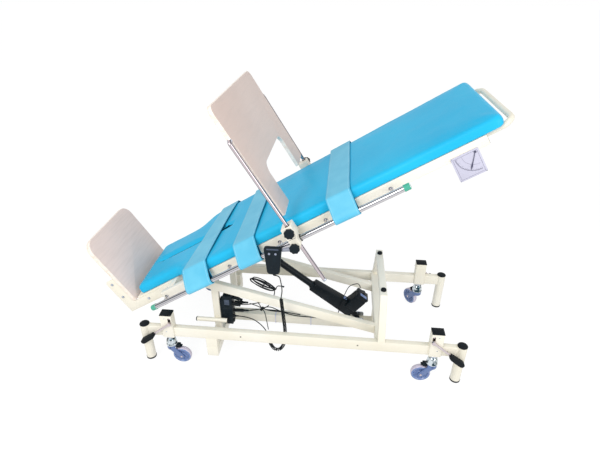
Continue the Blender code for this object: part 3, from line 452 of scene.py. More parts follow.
def hexBolt(bm, spot, out, across=0.010, high=0.004, washer=0.0075):
    spot, out = Vector(spot), Vector(out).normalized()
    rod(bm, spot, spot + out * 0.0012, washer, segments=28)
    verts = rod(bm, spot + out * 0.0011, spot + out * (0.0011 + high), across / sqrt(3), segments=6)
    rim = [e for e in {e for v in verts for e in v.link_edges} if e.calc_face_angle(0) > radians(80)]
    ease(bm, rim, 0.0006, 1)


def screwHead(bm, spot, out, radius=0.005):
    profile = [(0, 0.0010), (0.0012, 0.0010), (0.0016, 0.0020)] + arc(0, -0.0026, radius, 70, 30, 4)
    turnedOn(bm, profile + [(radius * 0.9, 0.0)], spot, out, 24)


def settle(bm, name, body, looks, place=Matrix(), node=None, angle=35):
    # a drawn shape made a piece, which rides on its body and may stand for a node
    bmesh.ops.remove_doubles(bm, verts=bm.verts, dist=0.00001)
    bmesh.ops.recalc_face_normals(bm, faces=bm.faces)
    bm.transform(place)
    mesh = bpy.data.meshes.new(name)
    bm.to_mesh(mesh)
    bm.free()
    return housed(mesh, name, body, looks, node, angle)


def housed(mesh, name, body, looks, node, angle):
    for look in looks if isinstance(looks, list) else [looks]:
        mesh.materials.append(look)
    mesh.shade_smooth()
    mesh.set_sharp_from_angle(angle=radians(angle))
    thing = linked(name, mesh)
    if body:
        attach(thing, body)
    if node:
        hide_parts(node)
    return thing


def bodyOf(node):
    return nodes[node]["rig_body"]


def bedSpot(s, n):
    # x and z in the base's drawing of a place on the tilted bed
    return -0.5 + s * cos(tilt) - n * sin(tilt), 0.455 + s * sin(tilt) + n * cos(tilt)


def smoothLine(knots, count):
    knots = [Vector(k) for k in knots]
    run = [2 * knots[0] - knots[1]] + knots + [2 * knots[-1] - knots[-2]]
    fine = []
    for i in range(1, len(run) - 2):
        a, b, c, d = run[i - 1:i + 3]
        for j in range(24):
            t = j / 24
            fine.append(0.5 * (2 * b + (c - a) * t + (2 * a - 5 * b + 4 * c - d) * t ** 2
                               + (3 * b - a - 3 * c + d) * t ** 3))
    fine.append(knots[-1])
    return evenly(fine, count)


def lineLength(points):
    return sum((b - a).length for a, b in zip(points, points[1:]))


def evenly(points, count):
    total = lineLength(points)
    done, out, i = 0.0, [], 0
    for k in range(count):
        want = total * k / (count - 1)
        while i < len(points) - 2 and done + (points[i + 1] - points[i]).length < want:
            done += (points[i + 1] - points[i]).length
            i += 1
        step = (points[i + 1] - points[i]).length or 1
        out.append(points[i].lerp(points[i + 1], min((want - done) / step, 1)))
    return out


def hose(name, points, radius, look, resolution=3, cyclic=False, radii=None, body=None,
         node=None):
    # a round tube along points, made a mesh at once
    curve = bpy.data.curves.new(name, "CURVE")
    curve.dimensions = "3D"
    curve.bevel_depth = radius
    curve.bevel_resolution = resolution
    curve.use_fill_caps = True
    line = curve.splines.new("POLY")
    line.points.add(len(points) - 1)
    for i, (point, place) in enumerate(zip(line.points, points)):
        point.co = (*place, 1)
        point.radius = radii[i] / radius if radii else 1
    line.use_cyclic_u = cyclic
    thing = linked(name, curve)
    mesh = bpy.data.meshes.new_from_object(thing)
    bpy.data.objects.remove(thing, do_unlink=True)
    bm = bmesh.new()
    bm.from_mesh(mesh)
    bmesh.ops.remove_doubles(bm, verts=bm.verts, dist=0.00001)
    bmesh.ops.recalc_face_normals(bm, faces=bm.faces)
    bm.to_mesh(mesh)
    bm.free()
    mesh.materials.clear()
    return housed(mesh, name, body, look, node, 60)


# cords: handset cord, spare cable in its hank, motor cable

handset = {"s": 0.490, "y": -0.350, "n": 0.077, "off": 0.022, "wide": 0.039, "top": 0.056, "low": -0.084,
           "front": -0.0485, "back": -0.0155, "button": 0.025, "sleeve": (0.024, 0.0062, 0.0034),
           "buttons": (("button_up", -0.0150), ("button_down", 0.0130))}
drive = {"x": 0.308, "z": 0.140, "rodS": 0.270, "rodN": -0.010, "house0": 0.046, "house1": 0.333,
         "tubeR": 0.018, "boreR": 0.012, "rodR": 0.011, "motorTop": 0.142, "motorMid": 0.083}
cordRun = {"wire": 0.0026, "curl": 0.0070, "curls": 50, "turnSteps": 14, "hangY": -0.2600}
hankRun = {"wire": 0.0026, "x": -0.205, "y": -0.142, "z": 0.425, "drop": 28, "loops": 4, "turnSteps": 16,
           "half": 0.070, "high": 0.016, "step": 0.0075, "tieR": 0.0195}
motorRun = {"wire": 0.0026}


def handsetCord(values, grip):
    gripX, gripZ = bedSpot(grip["s"], grip["n"])
    gripX, gripZ = gripX + grip["off"], gripZ + grip["low"]
    lead = smoothLine([(gripX, -0.382, gripZ - 0.001), (gripX, -0.382, gripZ - 0.012),
                       (-0.0820, -0.3600, 0.655), (-0.0810, -0.3200, 0.598),
                       (-0.0813, -0.2850, 0.521), (-0.0880, -0.2650, 0.470),
                       (-0.0900, -0.2600, 0.456)], 40)
    steps = values["curls"] * values["turnSteps"]
    middle = smoothLine(sideOf([(-0.0910, 0.448), (-0.0830, 0.350), (-0.0750, 0.250), (-0.0760, 0.180),
                                (-0.0870, 0.130), (-0.1080, 0.100), (-0.1330, 0.102), (-0.1510, 0.130),
                                (-0.1580, 0.165)], values["hangY"]), steps + 1)
    turns = []
    for k in range(steps + 1):
        ahead = middle[min(k + 1, steps)] - middle[max(k - 1, 0)]
        across = ahead.cross(Vector((0, 1, 0))).normalized()
        a = 2 * pi * k / values["turnSteps"]
        grow = values["curl"] * min(1.0, k / 10, (steps - k) / 10)
        turns.append(middle[k] + across * grow * cos(a) + Vector((0, 1, 0)) * grow * sin(a))
    tail = smoothLine([(-0.1600, -0.2600, 0.172), (-0.1650, -0.2560, 0.195),
                       (-0.1950, -0.2300, 0.222), (-0.2450, -0.2000, 0.238),
                       (-0.3000, -0.1800, 0.238), (-0.3677, -0.1740, 0.238)], 36)
    points = [basePlace @ p for p in lead + turns + tail]
    cord = hose("handsetCord", points, values["wire"], cordBlack,
                node="handset_cord")
    round(lineLength(points), 3)
    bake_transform(cord)
    return points


def cableHank(values):
    x, y, z, drop = values["x"], values["y"], values["z"], radians(values["drop"])
    steps, hank = values["turnSteps"], []
    for k in range(values["loops"] * steps + 1):
        a = 2 * pi * k / steps
        u = (values["half"] + 0.006 * sin(0.31 * k)) * cos(a)
        v = (values["high"] + 0.007 * sin(0.23 * k + 1)) * sin(a)
        hank.append(Vector((x + u * cos(drop) + v * sin(drop), y + values["step"] * k / steps,
                            z - u * sin(drop) + v * cos(drop))))
    start, finish = hank[0], hank[-1]
    first = smoothLine([(-0.3677, -0.150, 0.300), (-0.300, -0.150, 0.300), (-0.230, -0.156, 0.322),
                        (-0.165, -0.158, 0.340), (start.x - 0.006, -0.1500, start.z - 0.030),
                        (start.x, start.y - 0.0005, start.z - 0.008)], 30)
    last = smoothLine([(finish.x + 0.001, finish.y + 0.0005, finish.z + 0.008),
                       (finish.x + 0.012, -0.108, finish.z + 0.016),
                       (finish.x + 0.040, -0.104, finish.z + 0.010)], 12)
    points = [basePlace @ p for p in first + hank + last]
    cord = hose("spareCable", points, values["wire"], cordBlack, body="base",
                node="cable_hank")
    bm = bmesh.new()
    turnedOn(bm, [(0, -0.012), (0.0036, -0.012), (0.0044, -0.009), (0.0044, 0.001), (0.0032, 0.0022),
                  (0, 0.0022)], points[-1], (points[-1] - points[-2]).normalized(), 24)
    end = settle(bm, "spareCableEnd", "base", blackPlastic)
    round(lineLength(points), 3)
    middle = basePlace @ Vector((x, y + 2 * values["step"], z))
    dropAxis = Vector((cos(drop), 0, -sin(drop)))
    upAxis = Vector((sin(drop), 0, cos(drop)))
    ring = []
    for k in range(40):
        a, r = 2 * pi * k / 40, values["tieR"]
        ring.append(middle + dropAxis * 0.004 + upAxis * (r * cos(a)) + Vector((0, 1, 0)) * r * sin(a))
    hose("hankTie", ring, 0.0016, cordBlack, 2, True, body="base")
    return points


def liftLine(v):
    # length and slope of the actuator, from its lower pin to the bed's lug
    endX, endZ = bedSpot(v["rodS"], v["rodN"])
    return sqrt((endX - v["x"]) ** 2 + (endZ - v["z"]) ** 2), atan2(endZ - v["z"], endX - v["x"])


def motorCable(values, v):
    angle = liftLine(v)[1]
    motorX = v["x"] + v["motorMid"] * cos(angle) + v["motorTop"] * sin(angle)
    motorZ = v["z"] + v["motorMid"] * sin(angle) - v["motorTop"] * cos(angle)
    route = smoothLine([(-0.3677, -0.156, 0.262), (-0.300, -0.156, 0.262), (-0.240, -0.140, 0.262),
                        (-0.180, -0.100, 0.250), (-0.110, -0.058, 0.180), (-0.040, -0.030, 0.138),
                        (0.060, -0.029, 0.134), (0.150, -0.030, 0.136), (0.192, -0.032, 0.170),
                        (0.205, -0.034, 0.225), (0.225, -0.034, 0.275), (0.258, -0.030, 0.312),
                        (motorX - 0.022, -0.020, motorZ + 0.036),
                        (motorX + 0.006, -0.008, motorZ + 0.024),
                        (motorX + 0.0035, -0.002, motorZ + 0.0048)], 90)
    points = [basePlace @ p for p in route]
    cord = hose("motorCable", points, values["wire"], cordBlack,
                node="motor_cable")
    round(lineLength(points), 3)
    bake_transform(cord)
    return points


handsetPoints = handsetCord(cordRun, handset)
hankPoints = cableHank(hankRun)
motorPoints = motorCable(motorRun, drive)
print("cords laid")


# more shapes

def span(low, high, side):
    return (low, high) if side > 0 else (-high, -low)


def atSide(low, high, side):
    # two corners drawn for the far side and set on either
    ys = span(low[1], high[1], side)
    return (low[0], ys[0], *low[2:]), (high[0], ys[1], *high[2:])


def bars(bm, boxes, easing=0.003):
    for low, high in boxes:
        block(bm, low, high, easing, 3)


def pour(bm, other):
    mesh = bpy.data.meshes.new("poured")
    other.to_mesh(mesh)
    other.free()
    bm.from_mesh(mesh)
    bpy.data.meshes.remove(mesh)


def worked(thing):
    # the thing as its modifiers leave it
    return thing.evaluated_get(bpy.context.evaluated_depsgraph_get())


def carved(bm, tool, mixed=False):
    # one drawn shape cut out of another; mixed when the first is several shells that cross
    things = []
    for piece in (bm, tool):
        bmesh.ops.recalc_face_normals(piece, faces=piece.faces)
        mesh = bpy.data.meshes.new("carving")
        piece.to_mesh(mesh)
        piece.free()
        things.append(linked("carving", mesh))
    cut = things[0].modifiers.new("cut", "BOOLEAN")
    cut.operation = "DIFFERENCE"
    cut.solver = "EXACT"
    cut.use_self = mixed
    cut.object = things[1]
    bpy.context.view_layer.update()
    mesh = bpy.data.meshes.new_from_object(worked(things[0]))
    fresh = bmesh.new()
    fresh.from_mesh(mesh)
    for thing in things:
        bpy.data.objects.remove(thing, do_unlink=True)
    return fresh


def bead(bm, start, end, radius=0.0022):
    # a rippled weld
    place, long = aim(start, end)
    count = max(int(long / 0.0013), 6)
    line = [(radius * (0.84 + 0.20 * abs(sin(pi * k / 3))), long * k / count) for k in range(count + 1)]
    spun(bm, [(0, 0)] + line + [(0, long)], place, 8)


def collar(bm, axis, at, low, high, radius=0.0022):
    # welds round a rectangle square to one axis
    points = []
    for u, v in ((low[0], low[1]), (high[0], low[1]), (high[0], high[1]), (low[0], high[1])):
        point = [u, v]
        point.insert(axis, at)
        points.append(point)
    for a, b in zip(points, points[1:] + points[:1]):
        bead(bm, a, b, radius)


sides = {"near": -1, "far": 1}
ends = {"foot": -1, "head": 1}


# side frames: rail, hollow lift boxes, end posts

sideFrame = {"yIn": 0.280, "yOut": 0.310, "z0": 0.188, "z1": 0.248, "box0": 0.653, "box1": 0.713,
             "boxIn": 0.272, "boxOut": 0.320, "boxTop": 0.333, "wall": 0.003, "postX": 0.814,
             "postY": 0.296, "postR": 0.025, "postLow": 0.016, "postTop": 0.252, "slotX": 0.6650,
             "slotHalf": 0.0076, "slotLow": 0.2800, "slotTop": 0.3190, "sunk": 0.0022, "screwX": 0.6900,
             "screwZ": (0.3150, 0.2280), "pin": (0.664, 0.3170, 0.3135), "rivetX": (0.742, 0.30),
             "rivetZ": 0.218}


def liftBox(end, side, v):
    xs, ys = span(v["box0"], v["box1"], end), span(v["boxIn"], v["boxOut"], side)
    shell, tool, wall = bmesh.new(), bmesh.new(), v["wall"]
    block(shell, (xs[0], ys[0], v["z0"] - 0.002), (xs[1], ys[1], v["boxTop"]), 0.0028, 3)
    block(tool, (xs[0] + wall, ys[0] + wall, v["z0"] - 0.05),
          (xs[1] - wall, ys[1] - wall, v["boxTop"] - wall))
    shell = carved(shell, tool)
    tool = bmesh.new()
    mid, half = end * v["slotX"], v["slotHalf"]
    outline = (arc(mid, v["slotTop"] - half, half, 0, 180, 9)
               + arc(mid, v["slotLow"] + half, half, 180, 360, 9))
    slab(tool, sideOf(outline, side * (v["boxOut"] + 0.004)), (0, -side * 0.009, 0))
    return carved(shell, tool)


def makeSideFrame(where, side, v):
    bm, black, grey, bright = (bmesh.new() for _ in range(4))
    ys, ysBox = span(v["yIn"], v["yOut"], side), span(v["boxIn"], v["boxOut"], side)
    z0, z1, sunk = v["z0"], v["z1"], v["sunk"]
    bars(bm, [((-v["box0"] - sunk, ys[0], z0), (v["box0"] + sunk, ys[1], z1))])
    for end in (-1, 1):
        xs = span(v["box1"] - sunk, v["postX"] - 0.004, end)
        bars(bm, [((xs[0], ys[0], z0), (xs[1], ys[1], z1))])
        pour(bm, liftBox(end, side, v))
        middle = Matrix.Translation((end * v["postX"], side * v["postY"], 0))
        low, top, r = v["postLow"], v["postTop"], v["postR"]
        spun(bm, [(0, low + 0.004), (r - 0.001, low + 0.004), (r, low + 0.005), (r, top - 0.001),
                  (r - 0.001, top), (0, top)], middle, 56)
        spun(black, [(0, top - 0.001), (r + 0.0004, top - 0.001), (r + 0.0006, top + 0.0006),
                     (r - 0.0008, top + 0.0028), (0.0175, top + 0.0058), (0.009, top + 0.0074),
                     (0, top + 0.0078)], middle, 48)
        spun(black, [(0, low), (r - 0.003, low), (r + 0.0012, low + 0.002), (r + 0.0014, low + 0.0095),
                     (r + 0.0004, low + 0.011), (0, low + 0.011)], middle, 48)
        for face in (v["box0"], v["box1"]):
            collar(bm, 0, end * face, (ys[0] + 0.001, z0 + 0.001), (ys[1] - 0.001, z1 - 0.001))
        edge = end * (v["postX"] - r + 0.0035)
        for z in (z0 + 0.001, z1 - 0.001):
            bead(bm, (edge, ys[0], z), (edge, ys[1], z))
        xs, top = span(v["box0"], v["box1"], end), v["boxTop"]
        block(black, (xs[0] - 0.0008, ysBox[0] - 0.0008, top - 0.0004),
              (xs[1] + 0.0008, ysBox[1] + 0.0008, top + 0.0042), 0.0016, 3)
        block(black, (xs[0] + 0.010, ysBox[0] + 0.009, top + 0.0030),
              (xs[1] - 0.010, ysBox[1] - 0.009, top + 0.0056), 0.0014, 2)
        for z in v["screwZ"]:
            screwHead(grey, (end * v["screwX"], side * v["boxOut"], z), (0, side, 0), 0.0042)
        x, y, z = v["pin"]
        turnedOn(bright, [(0, 0.0022), (0.0030, 0.0022), (0.0046, 0.0014), (0.0050, 0), (0, 0)],
                 (end * x, side * y, z), (0, side, 0), 24)
        for x in v["rivetX"]:
            turnedOn(black, [(0, 0.0010), (0.0030, 0.0010), (0.0040, 0), (0, 0)],
                     (end * x, side * v["yOut"], v["rivetZ"]), (0, side, 0), 20)
    settle(bm, "sideFrame_" + where, "base", cream, basePlace, "side_frame_" + where)
    settle(black, "frameCaps_" + where, "base", blackRubber, basePlace)
    settle(grey, "boxScrews_" + where, "base", zinc, basePlace)
    settle(bright, "slotPins_" + where, "base", chrome, basePlace)


for where, side in sides.items():
    makeSideFrame(where, side, sideFrame)
print("side frames made")


# cross beams, spine, supports, rest portal

beams = {"railIn": 0.280, "railOut": 0.310, "z0": 0.188, "z1": 0.248, "foot0": -0.489, "foot1": -0.429,
         "footLow": 0.067, "footTop": 0.127, "head0": 0.389, "head1": 0.435, "spine": 0.025,
         "spineLow": 0.072, "spineTop": 0.1265, "strutIn": 0.163, "strutOut": 0.193, "slope": 0.2618,
         "deep": 0.0517, "post0": -0.469, "post1": -0.433, "eye": 0.021, "pivotX": -0.5, "pivotZ": 0.455,
         "kneeX": -0.42, "legIn": 0.250, "legOut": 0.3098, "bore": 0.0103}
portal = {"x0": 0.398, "thick": 0.036, "foot": 0.310, "footIn": 0.277, "top": 0.208, "z0": 0.248,
          "z1": 0.466, "bufferX": 0.416, "bufferY": 0.168}
cableBar = {"x0": -0.5605, "x1": -0.392, "z": 0.228, "r": 0.012, "off": 0.0123}


def beamPiece(node, boxes, welds):
    bm = bmesh.new()
    bars(bm, boxes)
    for weld in welds:
        collar(bm, *weld)
    settle(bm, node + "_tube", "base", cream, basePlace, node)


def makeBeams(v):
    z0, z1, foot0, foot1, head0, head1 = (v[k] for k in ("z0", "z1", "foot0", "foot1", "head0", "head1"))
    half, low, top = v["spine"], v["spineLow"], v["spineTop"]
    beam = ((foot0, -v["railOut"], v["footLow"]), (foot1, v["railOut"], v["footTop"]))
    legs = [atSide((foot0 + 0.0002, v["legIn"], v["footLow"] + 0.004),
                   (foot1 - 0.0002, v["legOut"], z0 - 0.0003), k) for k in (-1, 1)]
    welds = [(2, v["footTop"], *atSide((foot0, 0.251), (foot1, 0.309), k)) for k in (-1, 1)]
    welds += [(2, z0 - 0.0010, *atSide((foot0 + 0.001, 0.281), (foot1 - 0.001, 0.309), k), 0.0018)
              for k in (-1, 1)]
    beamPiece("foot_cross_beam", [beam] + legs, welds)
    beamPiece("head_cross_beam",
              [((head0, -v["railIn"] + 0.0003, z0), (head1, v["railIn"] - 0.0003, z1))],
              [(1, k * (v["railIn"] - 0.0018), (head0 + 0.001, z0 + 0.001), (head1 - 0.001, z1 - 0.001))
               for k in (-1, 1)])
    beamPiece("spine_beam",
              [((foot1 + 0.0003, -half, low), (head1, half, top)),
               ((head0, -half + 0.0002, low + 0.006), (head1 - 0.0003, half - 0.0002, z0 - 0.0003))],
              [(0, foot1 + 0.0014, (-half, low + 0.001), (half, top - 0.001)),
               (2, z0 - 0.0012, (head0 + 0.001, -half), (head1 - 0.001, half), 0.0018),
               (2, top, (head0, -half), (head1 - 0.002, half), 0.0018)])


def makeSupports(v):
    head0, deep, post0, post1, kneeX = v["head0"], v["deep"], v["post0"], v["post1"], v["kneeX"]
    pivotX, pivotZ, inner, outer = v["pivotX"], v["pivotZ"], v["strutIn"], v["strutOut"]
    top = {x: v["z1"] + v["slope"] * (head0 - x) for x in (post0, post1, kneeX)}
    outline = ([(head0 - 0.0003, v["z1"] - deep), (head0 - 0.0003, v["z1"]), (kneeX, top[kneeX])]
               + arc(pivotX, pivotZ, v["eye"], 78, 258, 17)
               + [(post0, top[post0] - deep), (post0, v["footTop"] + 0.0003),
                  (post1, v["footTop"] + 0.0003), (post1, top[post1] - deep)])
    for where, side in sides.items():
        bm, tool = bmesh.new(), bmesh.new()
        slab(bm, sideOf(outline, side * inner), (0, side * (outer - inner), 0), 0.0028, 3)
        rod(tool, (pivotX, side * 0.15, pivotZ), (pivotX, side * 0.21, pivotZ), v["bore"])
        bm = carved(bm, tool)
        for y, out in ((inner, -side), (outer, side)):
            turnedOn(bm, [(0.0112, 0), (0.0112, 0.0012), (0.0145, 0.0012), (0.0155, 0.0), (0.0112, 0)],
                     (pivotX, side * y, pivotZ), (0, out, 0), 32)
        ys = span(inner + 0.001, outer - 0.001, side)
        collar(bm, 2, v["footTop"] + 0.0012, (post0, ys[0]), (post1, ys[1]))
        for y in (side * outer, side * inner):
            bead(bm, (post0 + 0.002, y, top[post0] - deep - 0.001),
                 (post1 - 0.002, y, top[post1] - deep - 0.002), 0.0016)
        for z in (v["z1"] - deep + 0.001, v["z1"] - 0.001):
            bead(bm, (head0 - 0.001, ys[0], z), (head0 - 0.001, ys[1], z), 0.0018)
        node = "support_" + where
        settle(bm, node + "_tube", "base", cream, basePlace, node)
    bm = bmesh.new()
    place = basePlace @ Matrix.Translation((pivotX, 0, pivotZ)) @ Matrix.Rotation(pi / 2, 4, "X")
    half = [(0, 0.2008), (0.0128, 0.2008), (0.015, 0.1990), (0.015, 0.1952), (0.010, 0.1952)]
    spun(bm, half + [(r, -z) for r, z in reversed(half)])
    for k in (-1, 1):
        rod(bm, (0, 0, k * 0.2006), (0, 0, k * 0.2010), 0.006, segments=6)
    settle(bm, "pivotShaft", "base", zinc, place, "pivot_shaft")


def makePortal(v):
    x0, z0, z1, foot, top, inner = (v[k] for k in ("x0", "z0", "z1", "foot", "top", "footIn"))
    under = z1 - v["thick"]
    innerTop = inner - (foot - top) / (z1 - z0) * (under - z0)
    low = z0 + 0.0003
    outline = [(-foot, low), (-inner, low), (-innerTop, under), (innerTop, under), (inner, low),
               (foot, low), (top, z1), (-top, z1)]
    bm = bmesh.new()
    slab(bm, endOf(outline, x0), (v["thick"], 0, 0), 0.003, 3)
    for k in (-1, 1):
        for x in (x0 + 0.0005, x0 + v["thick"] - 0.0005):
            bead(bm, (x, k * (inner + 0.002), z0 + 0.002), (x, k * (foot - 0.001), z0 + 0.002))
            bead(bm, (x, k * (top - 0.0005), z1 - 0.001), (x, k * innerTop, under + 0.001), 0.0010)
    settle(bm, "restPortal", "base", cream, basePlace, "rest_portal")
    for where, side in sides.items():
        bm = bmesh.new()
        spun(bm, [(0, 0.0112), (0.0070, 0.0111), (0.0112, 0.0101), (0.0134, 0.0078), (0.0140, 0.0050),
                  (0.0136, 0.0030), (0.0128, 0.0022), (0.0136, 0.0012), (0.0140, 0), (0, 0)],
             Matrix.Translation((v["bufferX"], side * v["bufferY"], z1 + 0.0003)))
        node = "buffer_" + where
        settle(bm, node + "_domed", "base", blackRubber, basePlace, node)


def makeCableBar(v, outer):
    tube, cap = bmesh.new(), bmesh.new()
    y, z = -outer - v["off"], v["z"]
    rod(tube, (v["x0"], y, z), (v["x1"], y, z), v["r"], segments=40)
    for x in (-0.46, -0.44):
        bead(tube, (x, y + 0.0105, z - 0.006), (x, y + 0.0105, z + 0.006), 0.0016)
    settle(tube, "cableBar", "base", cream, basePlace, "cable_bar")
    turnedOn(cap, [(0, -0.002), (0.0124, -0.002), (0.0126, 0.0012), (0.0100, 0.0036), (0, 0.0042)],
             (v["x0"], y, z), (-1, 0, 0), 32)
    turnedOn(cap, [(0, -0.002), (0.0124, -0.002), (0.0126, 0.0008), (0.0100, 0.0022), (0, 0.0026)],
             (v["x1"], y, z), (1, 0, 0), 32)
    settle(cap, "cableBarCaps", "base", blackRubber, basePlace)


makeBeams(beams)
makeSupports(beams)
makePortal(portal)
makeCableBar(cableBar, beams["strutOut"])
print("beams made")


# bed frame: ladder of tubes, under beams, lugs

bedTubes = {"s0": -0.160, "s1": 1.485, "y0": 0.270, "y1": 0.300, "n0": 0.065, "n1": 0.107,
            "legIn": 0.180, "legOut": 0.210, "legFoot": -0.370, "underIn": 0.153, "underOut": 0.183,
            "underLow": 0.023, "under0": -0.050, "under1": 1.200,
            "cross": ((-0.125, -0.085), (0.020, 0.050), (0.400, 0.430),
                                         (0.800, 0.830), (1.160, 1.190), (1.445, 1.485))}


def makeBedFrame(v):
    bm, lugs, tool, plugs = (bmesh.new() for _ in range(4))
    n0, n1, s0, s1, low = v["n0"], v["n1"], v["s0"], v["s1"], v["underLow"]
    foot, under = v["legFoot"], v["underIn"]
    boxes = [((a, -v["y0"] - 0.0015, n0), (b, v["y0"] + 0.0015, n1)) for a, b in v["cross"]]
    boxes.append(((foot, -v["legOut"], n0), (foot + 0.03, v["legOut"], n1)))
    boxes.append(((0.195, -under - 0.001, low), (0.235, under + 0.001, n0)))
    for k in (-1, 1):
        boxes.append(atSide((s0, v["y0"], n0), (s1, v["y1"], n1), k))
        boxes.append(atSide((foot + 0.0285, v["legIn"], n0), (-0.1235, v["legOut"], n1), k))
        boxes.append(atSide((v["under0"], under, low), (v["under1"], v["underOut"], n0 + 0.0006), k))
    bars(bm, boxes, 0.0028)
    for a, b in v["cross"]:
        for k in (-1, 1):
            collar(bm, 1, k * v["y0"], (a + 0.001, n0 + 0.001), (b - 0.001, n1 - 0.001))
            if 0 < a < 1.3:
                collar(bm, 2, n0, *atSide((a, under), (b, v["underOut"]), k), 0.0018)
    for k in (-1, 1):
        ys = span(v["legIn"] + 0.001, v["legOut"] - 0.001, k)
        for s in (-0.125, foot + 0.030):
            collar(bm, 0, s, (ys[0], n0 + 0.001), (ys[1], n1 - 0.001))
        collar(bm, 1, k * under, (0.196, low + 0.001), (0.234, n0 - 0.001))
        outline = [(-0.030, 0.050)] + arc(0, 0, 0.021, 200, 340, 15) + [(0.030, 0.050)]
        slab(lugs, sideOf(outline, k * 0.1565), (0, -k * 0.008, 0), 0.0012, 2)
        outline = ([(0.205, 0.045), (0.205, 0.026), (0.250, -0.024)]
                   + arc(0.270, -0.010, 0.020, 225, 380, 15) + [(0.286, 0.045)])
        slab(lugs, sideOf(outline, k * 0.0200), (0, -k * 0.006, 0), 0.0012, 2)
        bead(lugs, (-0.030, k * 0.1565, 0.0235), (0.030, k * 0.1565, 0.0235), 0.0018)
        for a, b, easing in ((s1 - 0.001, s1 + 0.0008, 0.0006), (s0 - 0.0006, s0 + 0.001, 0.0004)):
            block(plugs, *atSide((a, v["y0"] + 0.003, n0 + 0.003), (b, v["y1"] - 0.003, n1 - 0.003), k),
                  easing, 2)
        for a, b in ((v["under0"] - 0.0008, v["under0"] + 0.001),
                     (v["under1"] - 0.001, v["under1"] + 0.0008)):
            block(plugs, *atSide((a, under + 0.003, low + 0.003), (b, v["underOut"] - 0.003, n0 - 0.003), k),
                  0.0005, 2)
    rod(tool, (0, -0.165, 0), (0, 0.165, 0), 0.0103)
    rod(tool, (0.270, -0.03, -0.010), (0.270, 0.03, -0.010), 0.006)
    pour(bm, carved(lugs, tool))
    settle(bm, "bedFrame", "bed", cream, bedPlace, "bed_frame")
    settle(plugs, "tubePlugs", "bed", blackRubber, bedPlace)


makeBedFrame(bedTubes)
print("bed frame made")


# casters with their hoods, wheels and plungers

caster = {"x": 0.683, "y": 0.296, "trail": 0.049, "wheel": 0.050, "wide": 0.0140, "hoodLow": 0.128,
          "hoodTop": 0.172, "hoodR": 0.028, "spokes": 10, "tread": 0.0465, "tyre": 0.036,
          "trails": {"near_head": 180, "near_foot": 0, "far_head": 125, "far_foot": 40}}


def makeWheel(tag, place, v):
    bm = bmesh.new()
    half = v["wide"]
    rim = [(0.0056, 0.0135), (0.0105, 0.0135), (0.0115, 0.0126), (0.0160, 0.0126), (0.0172, 0.0112),
           (0.0195, 0.0092), (0.0345, 0.0092), (0.0362, 0.0104), (0.0372, 0.0128), (0.0384, 0.0138),
           (0.0425, half), (0.0452, half - 0.0003), (0.0470, half - 0.0018), (0.0488, half - 0.0050),
           (0.0497, half - 0.0090), (0.0500, 0.0018)]
    spun(bm, rim + [(r, -z) for r, z in reversed(rim)] + [rim[0]], steps=64)
    for k in range(v["spokes"]):
        a = 2 * pi * k / v["spokes"]
        start, end = ((r * cos(a), r * sin(a)) for r in (0.0185, 0.0350))
        for z in (-0.0100, 0.0100):
            rod(bm, (*start, z), (*end, z), 0.0016, segments=10)
    bm.normal_update()
    bmesh.ops.recalc_face_normals(bm, faces=bm.faces)
    for face in bm.faces:
        spot = face.calc_center_median()
        far = sqrt(spot.x ** 2 + spot.y ** 2)
        face.material_index = 0 if far > v["tread"] else (1 if far > v["tyre"] else 2)
    place = place @ Matrix.Translation((v["trail"], 0, v["wheel"])) @ Matrix.Rotation(pi / 2, 4, "X")
    node = "wheel_" + tag
    settle(bm, node + "_moulded", node, [tyreTread, tyreLavender, hubLavender], place, node)


